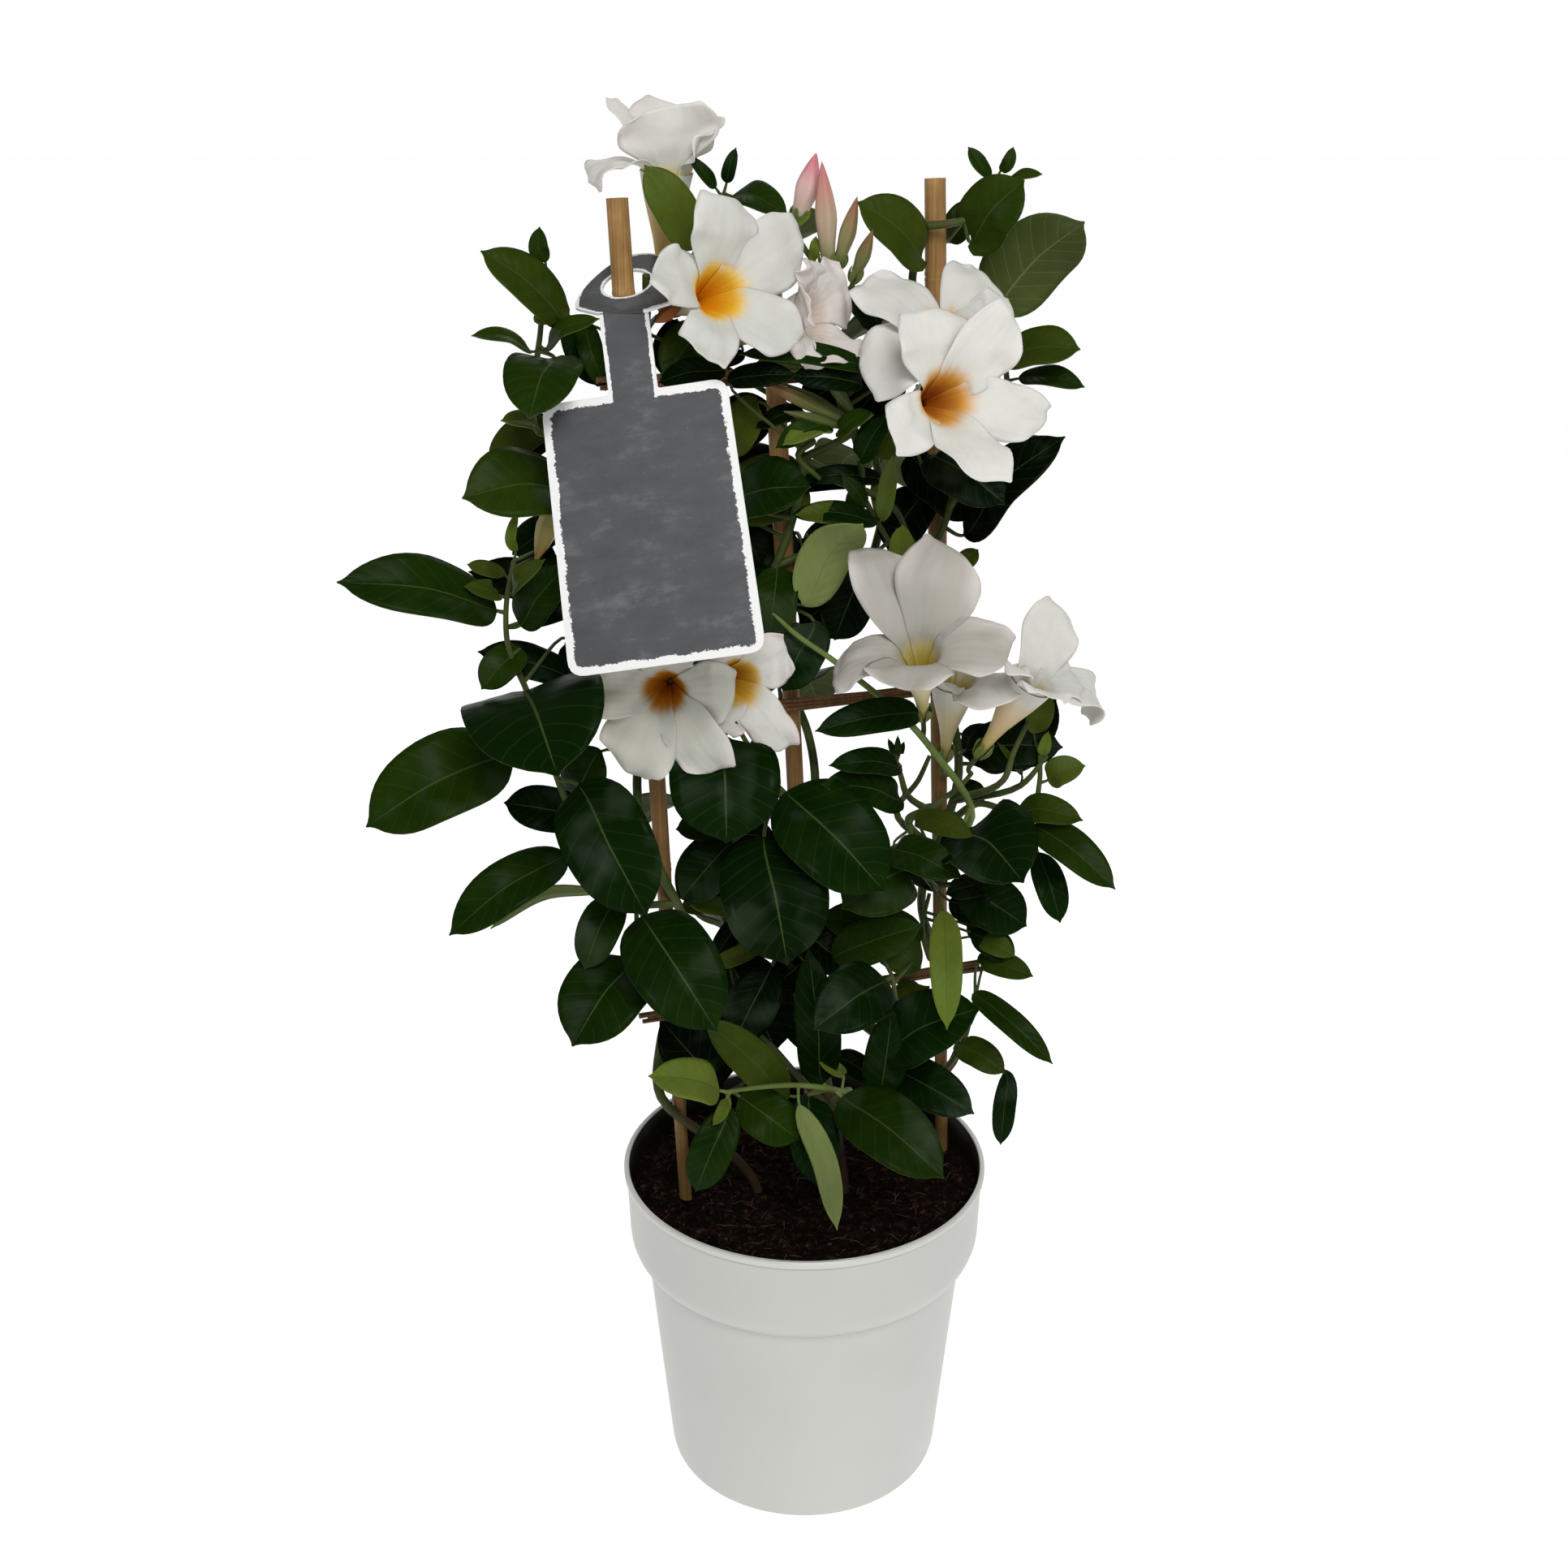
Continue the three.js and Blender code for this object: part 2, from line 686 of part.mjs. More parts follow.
const vines = {
  vine_left: {
    main: [
      vector([-20, -10, 108]),
      vector([-22, -11, soilHeight]),
      vector([-34, -20, 170]),
      ...windRound(canes.left, 200, 560, -1),
    ],
    shoots: [
      [[-66, -22, 281], [-76, -25, 299], [-85, -28, 312], [-100, -34, 348], [-104, -36, 362],
        [-114, -38, 399], [-120, -40, 417], [-120, -40, 435], [-116, -40, 453]],
      [[-76, -14, 486], [-88, -12, 495], [-101, -15, 508], [-106, -18, 525], [-104, -20, 539],
        [-101, -20, 561]],
      [[-63, -14, 550], [-54, -7, 552], [-47, -4, 558], [-44, -2, 568], [-37, 0, 582], [-33, 0, 589]],
    ],
    leaves: [
      // shoot on the upper left, up beside the tag
      [[-96, -22, 543], [-123, -34, 570], 19, 45],
      [[-107, -25, 532], [-127, -42, 540], 7, 40],
      [[-102, -24, 533], [-79, -40, 546], 8, 50],
      [[-98, -28, 530], [-104, -62, 512], 26, 50],
      [[-89, -18, 543], [-79, -26, 517], 9, 60],
      [[-89, 2, 539], [-85, 8, 515], 9, 60],
      [[-104, -22, 501], [-118, -40, 508], 9, 50],
      [[-104, -10, 503], [-127, -20, 486], 15, 55],
      [[-95, -24, 478], [-133, -50, 480], 29, 50],
      // shoot that leans out on the left below the tag
      [[-119, -40, 437], [-102, -54, 457], 8, 50],
      [[-119, -40, 437], [-134, -52, 446], 8, 50],
      [[-123, -42, 428], [-179, -70, 451], 18, 20],
      [[-116, -34, 425], [-95, -38, 451], 16, 60],
      [[-116, -36, 416], [-131, -46, 402], 14, 60],
      [[-114, -42, 400], [-93, -104, 387], 52, 48],
      [[-121, -38, 370], [-178, -62, 347], 33, 50],
      [[-100, -30, 349], [-127, -30, 343], 22, 60],
      [[-94, -32, 322], [-151, -56, 296], 25, 45],
      [[-96, -20, 299], [-138, -30, 287], 12, -50],
      [[-94, -44, 360], [-65, -72, 314], 34, 60],
      [[-86, -24, 368], [-100, -14, 341], 18, 60],
      [[-81, -40, 309], [-93, -58, 283], 17, 55],
      // main stem, mostly low in front of the left cane
      [[-74, -42, 281], [-97, -78, 258], 33, 50],
      [[-69, -48, 303], [-37, -82, 267], 34, 55],
      // shoot that carries the topmost flower
      [[-50, -14, 570], [-64, -20, 599], 20, 60],
      [[-34, 0, 589], [-8, -16, 582], 14, 45],
      [[-40, -6, 540], [-56, -26, 521], 17, 60],
    ],
    blooms: ['bloom_top', 'bloom_face_left'],
    buds: ['bud_left_low'],
  },
  vine_middle: {
    main: [
      vector([18, -12, 108]),
      vector([19, -12, soilHeight]),
      vector([15, -8, 175]),
      ...windRound(canes.middle, 200, 505, 1),
    ],
    shoots: [
      [[14, -6, 190], [20, -18, 202], [16, -34, 211], [8, -48, 221], [-6, -56, 227], [-22, -60, 228],
        [-34, -60, 226]],
      [[15, -7, 178], [26, -14, 196], [37, -20, 212], [41, -22, 238], [38, -26, 264]],
      [[0, -4, 318], [-10, -12, 342], [-22, -24, 366], [-30, -30, 383]],
      [[-2, -4, 440], [10, 2, 452], [22, 3, 470], [20, -2, 492], [14, -5, 507], [9, -5, 522],
        [10, 3, 540], [7, 8, 556]],
      [[11, -8, 186], [-3, -12, 206], [-16, -14, 224], [-28, -15, 236]],
    ],
    leaves: [
      // shoot with the cluster of buds
      [[-2, -8, 524], [-23, -4, 523], 8, 40],
      // main stem
      [[10, -6, 500], [-10, -24, 496], 9, 45],
      [[22, 4, 500], [35, -8, 487], 13, 60],
      [[-20, -4, 510], [-32, 4, 487], 15, 60],
      [[-30, -6, 469], [1, -22, 479], 25, 50],
      [[24, -4, 460], [-5, -18, 467], 10, 50],
      [[-2, -12, 428], [23, -26, 464], 25, -50],
      [[-11, -8, 446], [-16, -12, 412], 18, 60],
      [[0, -4, 453], [17, -8, 427], 18, 60],
      [[3, -9, 420], [-10, -14, 391], 20, 60],
      [[25, -4, 441], [12, -6, 407], 20, 60],
      // centre shoot, between the flowers and the low bar
      [[-34, -30, 377], [-33, -55, 339], 42, 55],
      [[-18, -36, 334], [-8, -64, 288], 41, 55],
      [[-9, -28, 351], [32, -54, 317], 37, 55],
      [[-32, -20, 325], [-54, -26, 301], 21, 60],
      [[-31, -16, 291], [-50, -26, 298], 8, 50],
      // low shoots inside the rack
      [[12, -6, 263], [51, -18, 285], 19, 55],
      [[37, -28, 265], [3, -58, 255], 27, 50],
      [[34, -24, 206], [38, -30, 251], 18, 60],
      [[-15, -18, 265], [-32, -24, 230], 21, 60],
      [[-37, -14, 234], [-62, -22, 207], 23, 60],
      [[39, -26, 229], [74, -52, 262], 28, 45],
      [[42, 0, 246], [55, -10, 237], 13, 60],
      [[40, -12, 209], [75, -38, 202], 20, 50],
      // shoot that hangs forward over the soil
      [[16, -44, 215], [57, -82, 200], 32, 45],
      [[-34, -60, 226], [-66, -74, 247], 21, 45],
      [[-32, -58, 217], [-49, -66, 181], 17, 60],
      [[-22, -58, 223], [-5, -76, 214], 14, 45],
      [[-15, -34, 216], [-38, -42, 252], 32, 55],
      [[8, -34, 215], [1, -38, 283], 18, 60],
      [[-3, -62, 221], [12, -88, 177], 17, 55],
      [[7, -40, 212], [12, -58, 176], 18, 60],
    ],
    blooms: ['bloom_half_open', 'bloom_under_tag', 'bloom_beside'],
    buds: ['bud_top_left', 'bud_top_middle', 'bud_top_right', 'bud_top_low'],
  },
  vine_right: {
    main: [
      vector([40, 14, 108]),
      vector([41, 14, soilHeight]),
      vector([52, 16, 172]),
      ...windRound(canes.right, 200, 576, 1),
    ],
    shoots: [
      [[50, 16, 576], [60, 14, 578], [72, 17, 584], [75, 18, 593]],
      [[64, 17, 300], [73, 0, 329], [53, -20, 367], [39, -24, 384], [12, -22, 406], [-7, -18, 419],
        [-20, -10, 431]],
      [[64, 17, 316], [76, 8, 332], [88, -4, 333], [97, -10, 332], [101, -6, 347], [101, -3, 359]],
      [[68, 17, 177], [73, 8, 210], [77, -6, 242]],
      [[60, 17, 288], [58, -3, 296], [52, -12, 306], [46, -15, 318], [45, -14, 331]],
      [[58, 18, 462], [70, 14, 480], [82, 16, 500], [82, 18, 518], [76, 20, 538]],
      [[44, 29, 545], [40, 25, 532], [37, 21, 520], [35, 16, 510]],
    ],
    leaves: [
      // top of the right cane
      [[46, 16, 563], [19, 2, 586], 21, 55],
      [[57, 32, 569], [69, 36, 584], 12, 60],
      [[71, 18, 593], [63, 16, 606], 6, 60],
      [[77, 18, 593], [81, 18, 606], 5, 60],
      [[79, 18, 593], [92, 12, 596], 5, 50],
      [[65, 16, 570], [84, 4, 594], 23, 55],
      // upper shoot on the right
      [[77, 24, 542], [110, 14, 578], 32, -60],
      [[81, 14, 525], [109, 0, 530], 19, 50],
      [[87, 18, 516], [113, 8, 514], 10, 45],
      [[52, 8, 486], [80, -12, 470], 24, 60],
      [[66, 20, 447], [105, 8, 493], 27, 35],
      [[87, 22, 483], [100, 20, 491], 8, 60],
      [[65, 24, 434], [74, 24, 443], 8, 60],
      [[44, 8, 442], [37, 2, 457], 8, 60],
      // runner that crosses the rack to the left
      [[46, -26, 385], [3, -42, 383], 14, 55],
      [[40, -16, 358], [9, -36, 366], 11, 50],
      [[41, -14, 342], [6, -34, 357], 16, 50],
      // shoot that leans out on the right
      [[71, 14, 355], [112, 4, 360], 21, 55],
      [[99, 4, 366], [104, 4, 386], 10, 60],
      [[88, -4, 333], [117, -22, 335], 11, 45],
      [[96, -8, 330], [131, -38, 311], 22, 45],
      [[103, 0, 312], [112, -16, 285], 16, 60],
      [[68, -14, 329], [89, -56, 322], 37, 45],
      // main stem at half height
      [[44, -14, 310], [15, -40, 303], 29, 50],
      [[37, -16, 321], [64, -40, 317], 17, 50],
      [[47, -8, 331], [71, -26, 330], 11, 45],
      [[69, 8, 293], [100, 2, 275], 23, 60],
      [[56, -12, 296], [64, -24, 237], 13, 70],
      [[77, 4, 269], [94, -8, 265], 10, 50],
      [[79, 4, 256], [102, -12, 257], 11, 45],
      // low shoot on the right
      [[76, -8, 244], [109, -36, 225], 12, 50],
      [[71, 0, 217], [91, -16, 210], 13, 50],
      [[94, 8, 198], [93, 2, 161], 16, 60],
    ],
    blooms: ['bloom_right_front', 'bloom_right_behind', 'bloom_centre', 'bloom_centre_behind', 'bloom_right'],
    buds: [],
  },
};

// The vine that fills the back of the rack: its leaves stand in pairs along a stem that weaves
// behind the canes, each pair turned from the one below.
function backVine() {
  const main = [
    [12, 22, 108], [12, 22, soilHeight], [8, 28, 180], [-16, 26, 230], [-40, 8, 290], [-26, 16, 350],
    [6, 26, 400], [32, 33, 450], [22, 30, 500], [-14, 20, 540], [-30, 16, 560],
  ].map(vector);
  const leaves = [];
  const stem = smoothCurve(main);
  for (let pair = 0; pair < 8; pair += 1) {
    const node = stem.getPoint(0.26 + 0.1 * pair);
    for (const side of [-1, 1]) {
      const heading = turned(90 + side * (pair % 2 === 0 ? 72 : 22) + 14 * Math.sin(5 * pair));
      const out = new THREE.Vector3(Math.cos(heading), Math.sin(heading), 0);
      const length = 56 + 10 * Math.sin(3 * pair + side);
      const base = node.clone().addScaledVector(out, 10);
      const tip = base.clone().addScaledVector(out, length * 0.86);
      tip.z += pair < 6 ? -0.42 * length : 0.3 * length;
      leaves.push([base.toArray(), tip.toArray(), 30 + 3 * Math.sin(pair), pair % 2 === 0 ? -25 : -50]);
    }
  }
  return { main, shoots: [], leaves, blooms: [], buds: [] };
}
vines.vine_back = backVine();

// Points close together on the straight pieces that a rod along these points is made of.
function rodPoints(points) {
  const stations = smoothCurve(points).getSpacedPoints(points.length);
  const samples = [];
  for (let i = 1; i < stations.length; i += 1) {
    for (let k = 0; k < 8; k += 1) {
      samples.push(stations[i - 1].clone().lerp(stations[i], k / 8));
    }
  }
  samples.push(stations.at(-1));
  return samples;
}

function vinePaths(vine) {
  const trunk = rodPoints(vine.main);
  const paths = [{ points: vine.main, samples: trunk, radius: stemRadius }];
  for (const shoot of vine.shoots) {
    const points = shoot.map(vector);
    points[0] = nearestPoint([trunk], points[0]);
    paths.push({ points, samples: rodPoints(points), radius: shootRadius });
  }
  return paths;
}

// One stem of a vine; a swollen one also reaches a little lower at its foot.
function stemSolid({ points, radius }, grow) {
  const foot = points[0].clone();
  foot.z -= grow;
  const sides = radius < 2 ? 3 : 4;
  return solidFrom(rod([foot, ...points.slice(1)], radius + grow, sides, points.length));
}

function vineParts(vine, grow) {
  const paths = vinePaths(vine);
  const parts = paths.map((path) => stemSolid(path, grow));
  const aboveSoil = paths.map(({ samples }) => samples.filter((point) => point.z > soilHeight + 20));
  for (const leaf of vine.leaves) {
    parts.push(leafSolid(leaf, nearestPoint(aboveSoil, vector(leaf[0])), grow));
  }
  const flowerFeet = [];
  for (const name of vine.blooms) {
    const bloom = blooms[name];
    const direction = vector(bloom.axis).normalize();
    flowerFeet.push({ foot: tubeBase(bloom), direction, radius: 3.4, length: 7, bow: 9 });
  }
  for (const name of vine.buds) {
    const bud = buds[name];
    const direction = vector(bud.tip).sub(vector(bud.foot)).normalize();
    flowerFeet.push({ foot: vector(bud.foot), direction, radius: bud.radius * 0.5 + 1.2, length: 5, bow: 4 });
  }
  for (const { foot, direction, radius, length, bow } of flowerFeet) {
    parts.push(calyxSolid(foot, direction, radius + grow, length));
    const neck = foot.clone().addScaledVector(direction, -2);
    const bend = foot.clone().addScaledVector(direction, -bow);
    const start = nearestPoint(aboveSoil, bend);
    parts.push(solidFrom(rod([start, bend, neck], pedicelRadius + grow, 3, 3)));
  }
  return parts;
}

// ---- materials ----

const materials = {
  pot: new THREE.MeshStandardMaterial({ color: '#dedcd6', roughness: 0.5 }),
  soil: new THREE.MeshStandardMaterial({ color: '#33231a', roughness: 0.95 }),
  cane: new THREE.MeshStandardMaterial({ color: '#b08d5e', roughness: 0.6 }),
  tag: new THREE.MeshStandardMaterial({ color: '#3a3c3e', roughness: 0.8 }),
  leaf: new THREE.MeshStandardMaterial({ color: '#35571f', roughness: 0.4 }),
  petal: new THREE.MeshStandardMaterial({ color: '#f3f0ea', roughness: 0.6 }),
  bud: new THREE.MeshStandardMaterial({ color: '#e3b9bd', roughness: 0.55 }),
};

// ---- assembly ----

const mandevilla = new THREE.Group();
const clearances = []; // slightly swollen copies of the pieces already placed

function place(name, geometry, material) {
  const mesh = new THREE.Mesh(geometry, material.clone());
  mesh.name = name;
  mandevilla.add(mesh);
}

place('pot', potGeometry(), materials.pot);

for (const [name, cane] of Object.entries(canes)) {
  place(`cane_${name}`, geometryFrom(caneSolid(cane, 0)), materials.cane);
  clearances.push(caneSolid(cane, gap));
}
for (const [name, bar] of Object.entries(bars)) {
  place(`bar_${name}`, geometryFrom(barSolid(bar, 0)), materials.cane);
  clearances.push(barSolid(bar, gap));
}
place('tag', geometryFrom(tagSolid(0)), materials.tag);
clearances.push(tagSolid(gap));

const stemHoles = Object.values(vines).map((vine) => {
  return stemSolid({ points: vine.main, radius: stemRadius }, gap);
});
place('soil', geometryFrom(soilSolid().subtract(joined([...clearances, ...stemHoles]))), materials.soil);

for (const [name, bloom] of Object.entries(blooms)) {
  place(name, geometryFrom(bloomSolid(bloom, 0).subtract(joined(clearances))), materials.petal);
  clearances.push(bloomSolid(bloom, gap));
}
for (const [name, bud] of Object.entries(buds)) {
  place(name, geometryFrom(solidFrom(budGeometry(bud, 0)).subtract(joined(clearances))), materials.bud);
  clearances.push(solidFrom(budGeometry(bud, gap)));
}
for (const [name, vine] of Object.entries(vines)) {
  const solid = joined(vineParts(vine, 0)).subtract(joined(clearances));
  place(name, geometryFrom(solid), materials.leaf);
  clearances.push(joined(vineParts(vine, gap)));
}

export default mandevilla;
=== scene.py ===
import math
import random

import bpy
from mathutils import Matrix, Vector, noise


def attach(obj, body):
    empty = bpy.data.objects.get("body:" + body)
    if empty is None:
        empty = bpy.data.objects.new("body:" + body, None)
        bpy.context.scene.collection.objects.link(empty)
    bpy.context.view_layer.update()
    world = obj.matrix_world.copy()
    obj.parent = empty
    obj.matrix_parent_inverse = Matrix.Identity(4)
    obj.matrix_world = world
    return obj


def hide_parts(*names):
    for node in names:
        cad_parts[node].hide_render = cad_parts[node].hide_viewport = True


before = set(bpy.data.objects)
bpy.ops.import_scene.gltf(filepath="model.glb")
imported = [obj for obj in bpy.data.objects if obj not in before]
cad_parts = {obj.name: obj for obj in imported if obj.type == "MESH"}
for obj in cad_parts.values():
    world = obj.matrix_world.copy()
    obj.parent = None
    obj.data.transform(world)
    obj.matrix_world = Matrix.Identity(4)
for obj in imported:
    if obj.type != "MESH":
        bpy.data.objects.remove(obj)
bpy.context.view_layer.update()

random.seed(7)
up = Vector((0, 0, 1))


# lengths are in millimetres, except in the materials and on the stage, where they are in metres
def metres(point):
    return Vector(point) * 0.001


def mix(a, b, share):
    return a + (b - a) * share


def ease(low, high, value):
    share = min(1.0, max(0.0, (value - low) / (high - low)))
    return share * share * (3 - 2 * share)


def curveThrough(stops, place):
    # smooth value between (place, value) stops, with no step at any of them
    for i, ((p0, v0), (p1, v1)) in enumerate(zip(stops, stops[1:])):
        if place <= p1:
            before = stops[i - 1] if i else (2 * p0 - p1, 2 * v0 - v1)
            after = stops[i + 2] if i + 2 < len(stops) else (2 * p1 - p0, 2 * v1 - v0)
            span = p1 - p0
            t0 = (v1 - before[1]) / (p1 - before[0]) * span
            t1 = (after[1] - v0) / (after[0] - p0) * span
            s = max(0.0, (place - p0) / span)
            return (v0 * (2 * s ** 3 - 3 * s ** 2 + 1) + t0 * (s ** 3 - 2 * s ** 2 + s)
                    + v1 * (3 * s ** 2 - 2 * s ** 3) + t1 * (s ** 3 - s ** 2))
    return stops[-1][1]


def selectOnly(*pieces):
    bpy.ops.object.select_all(action="DESELECT")
    for piece in pieces:
        piece.select_set(True)
    bpy.context.view_layer.objects.active = pieces[0]


def joinAs(name, pieces):
    selectOnly(*pieces)
    if len(pieces) > 1:
        bpy.ops.object.join()
    joined = bpy.context.object
    joined.name = name
    joined.data.name = name
    return joined


def applyModifier(piece, kind, **settings):
    selectOnly(piece)
    modifier = piece.modifiers.new(kind.lower(), kind)
    for key, value in settings.items():
        setattr(modifier, key, value)
    bpy.ops.object.modifier_apply(modifier=modifier.name)


def smoothShade(piece, degrees=40):
    selectOnly(piece)
    bpy.ops.object.shade_smooth_by_angle(angle=math.radians(degrees))


def finishPiece(piece, slot, *nodes):
    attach(piece, "root")
    if nodes:
        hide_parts(*nodes)


def newPiece(name, data):
    piece = bpy.data.objects.new(name, data)
    bpy.context.scene.collection.objects.link(piece)
    return piece


def copyMesh(pattern, name):
    return newPiece(name, pattern.data.copy())


def coverWith(piece, *materials):
    piece.data.materials.clear()
    for material in materials:
        piece.data.materials.append(material)


def faceOutward():
    # turns the faces of the piece in hand outward
    bpy.ops.object.mode_set(mode="EDIT")
    bpy.ops.mesh.select_all(action="SELECT")
    bpy.ops.mesh.normals_make_consistent(inside=False)
    bpy.ops.object.mode_set(mode="OBJECT")


def smoothPath(points, steps):
    # centripetal curve through the points, with steps samples on each stretch
    points = [Vector(p) for p in points]
    padded = [2 * points[0] - points[1]] + points + [2 * points[-1] - points[-2]]
    path = []
    for i in range(1, len(padded) - 2):
        p0, p1, p2, p3 = padded[i - 1:i + 3]
        d0, d1, d2 = ((b - a).length ** 0.5 or 0.01 for a, b in ((p0, p1), (p1, p2), (p2, p3)))
        t1 = ((p1 - p0) / d0 - (p2 - p0) / (d0 + d1) + (p2 - p1) / d1) * d1
        t2 = ((p2 - p1) / d1 - (p3 - p1) / (d1 + d2) + (p3 - p2) / d2) * d1
        for k in range(steps):
            s = k / steps
            cubic = 2 * p1 - 2 * p2 + t1 + t2
            square = -3 * p1 + 3 * p2 - 2 * t1 - t2
            path.append(p1 + t1 * s + square * s * s + cubic * s * s * s)
    path.append(points[-1])
    return path


def tubesAs(name, tubes, sides=2):
    # round tubes along paths; a tube is its points and its radius at each
    curve = bpy.data.curves.new(name, "CURVE")
    curve.dimensions = "3D"
    curve.bevel_depth = 0.001
    curve.bevel_resolution = sides
    curve.use_fill_caps = True
    for points, radii in tubes:
        spline = curve.splines.new("POLY")
        spline.points.add(len(points) - 1)
        for spot, point, radius in zip(spline.points, points, radii):
            spot.co = (*metres(point), 1)
            spot.radius = radius
    selectOnly(newPiece(name, curve))
    bpy.ops.object.convert(target="MESH")
    faceOutward()
    bpy.ops.object.shade_smooth()
    return bpy.context.object


def turnedShape(name, rings, steps):
    # a filled circle drawn out and resized from ring to ring; a ring is its radius and height
    bpy.ops.object.select_all(action="DESELECT")
    radius, height = rings[0]
    bpy.ops.mesh.primitive_circle_add(
        vertices=steps, radius=radius * 0.001, fill_type="NGON", location=(0, 0, height * 0.001))
    piece = bpy.context.object
    bpy.ops.object.transform_apply(location=True)
    bpy.ops.object.mode_set(mode="EDIT")
    bpy.ops.mesh.select_all(action="SELECT")
    for nextRadius, nextHeight in rings[1:]:
        lift, grow = (nextHeight - height) * 0.001, nextRadius / radius
        bpy.ops.mesh.extrude_region_move(TRANSFORM_OT_translate={"value": (0, 0, lift)})
        bpy.ops.transform.resize(value=(grow, grow, 1), center_override=(0, 0, 0))
        radius, height = nextRadius, nextHeight
    faceOutward()
    return joinAs(name, [piece])


class Nodes:
    # the node tree of a material or of the world, with short ways to add and join nodes
    def __init__(self, name, blocks=bpy.data.materials, shader="Principled BSDF"):
        self.block = blocks.new(name)
        self.block.use_nodes = True
        self.tree = self.block.node_tree
        self.shader = self.tree.nodes[shader]

    def add(self, kind, **settings):
        node = self.tree.nodes.new("ShaderNode" + kind)
        for key, value in settings.items():
            setattr(node, key, value)
        return node

    def join(self, output, socket):
        self.tree.links.new(output, socket)

    def feed(self, socket, value):
        if isinstance(value, (int, float, tuple)):
            socket.default_value = value
        else:
            self.join(value, socket)

    def maths(self, operation, *values, clamp=False):
        node = self.add("Math", operation=operation, use_clamp=clamp)
        for socket, value in zip(node.inputs, values):
            self.feed(socket, value)
        return node.outputs[0]

    def plus(self, a, b):
        return self.maths("ADD", a, b)

    def minus(self, a, b):
        return self.maths("SUBTRACT", a, b)

    def times(self, a, b):
        return self.maths("MULTIPLY", a, b)

    def most(self, a, b):
        return self.maths("MAXIMUM", a, b)

    def least(self, a, b):
        return self.maths("MINIMUM", a, b)

    def size(self, value):
        return self.maths("ABSOLUTE", value)

    def length(self, a, b):
        squares = (self.maths("POWER", value, 2.0) for value in (a, b))
        return self.maths("SQRT", self.plus(*squares))

    def noise(self, scale, detail=4.0, vector=None, rough=0.6):
        node = self.add("TexNoise")
        node.inputs["Scale"].default_value = scale
        node.inputs["Detail"].default_value = detail
        node.inputs["Roughness"].default_value = rough
        self.join(vector or self.place(), node.inputs["Vector"])
        return node.outputs["Fac"]

    def place(self):
        return self.add("TexCoord").outputs["Object"]

    def uv(self):
        return self.add("TexCoord").outputs["UV"]

    def axes(self, vector=None):
        split = self.add("SeparateXYZ")
        self.join(vector or self.place(), split.inputs[0])
        return tuple(split.outputs)

    def stretched(self, vector, scale, turn=0.0):
        node = self.add("Mapping")
        node.inputs["Rotation"].default_value = (0, 0, turn)
        node.inputs["Scale"].default_value = scale
        self.join(vector, node.inputs["Vector"])
        return node.outputs[0]

    def ramp(self, value, stops):
        node = self.add("ValToRGB")
        elements = node.color_ramp.elements
        while len(elements) < len(stops):
            elements.new(0.5)
        for element, (place, colour) in zip(elements, stops):
            element.position = place
            element.color = (*colour, 1)
        self.feed(node.inputs[0], value)
        return node.outputs[0]

    def blend(self, share, a, b, kind="MIX"):
        node = self.add("Mix", data_type="RGBA", blend_type=kind)
        self.feed(node.inputs[0], share)
        self.feed(node.inputs[6], a)
        self.feed(node.inputs[7], b)
        return node.outputs[2]

    def bump(self, height, strength, distance=0.001):
        node = self.add("Bump")
        node.inputs["Strength"].default_value = strength
        node.inputs["Distance"].default_value = distance
        self.join(height, node.inputs["Height"])
        self.join(node.outputs[0], self.shader.inputs["Normal"])

    def colour(self, value):
        self.feed(self.shader.inputs["Base Color"], value)

    def surface(self, roughness, specular=None):
        self.feed(self.shader.inputs["Roughness"], roughness)
        if specular is not None:
            self.shader.inputs["Specular IOR Level"].default_value = specular


potSkin = {
    "tones": [(0.3, (0.525, 0.528, 0.494)), (0.7, (0.57, 0.573, 0.539))],
    "lip": [(0.9118, (1, 1, 1)), (0.9135, (0.72, 0.72, 0.71)), (0.9155, (0.80, 0.80, 0.79)),
            (0.918, (1.12, 1.12, 1.11))],  # painted shade in the groove and a painted highlight on the lip, at heights times lipScale
    "insideShade": [(0.62, (0.008, 0.007, 0.006)), (0.68, (0.11, 0.11, 0.10))],  # painted shade on the inner wall, at heights times its scale
    "lipScale": 6.0, "insideShadeScale": 4.0, "inside": 0.0827, "insideShadeFoot": 0.1235, "insideShadeWaver": 0.012,
}


def potPlastic():
    # cloudy plastic with a moulded lip; painted shade darkens the groove under the lip, a painted highlight
    # brightens the lip's top, and the inner wall from below the soil's top to the rim is painted near black
    # as shade
    nodes = Nodes("potPlastic")
    x, y, z = nodes.axes()
    plain = nodes.ramp(nodes.noise(9, 3), potSkin["tones"])
    # painted shade in the groove under the lip and a painted highlight on its top, multiplied into the colour
    lip = nodes.ramp(nodes.times(z, potSkin["lipScale"]), potSkin["lip"])
    plain = nodes.blend(1.0, plain, lip, "MULTIPLY")
    # painted shade: the inner wall above the soil is coloured near black
    inside = nodes.maths("LESS_THAN", nodes.length(x, y), potSkin["inside"])
    above = nodes.maths("GREATER_THAN", z, potSkin["insideShadeFoot"])
    height = nodes.plus(z, nodes.times(nodes.noise(40), potSkin["insideShadeWaver"]))
    insideShade = nodes.ramp(nodes.times(height, potSkin["insideShadeScale"]), potSkin["insideShade"])
    nodes.colour(nodes.blend(nodes.times(inside, above), plain, insideShade))
    nodes.surface(nodes.plus(nodes.times(nodes.noise(60), 0.12), 0.3))
    nodes.bump(nodes.noise(900, 2), 0.05, 0.0002)
    return nodes.block


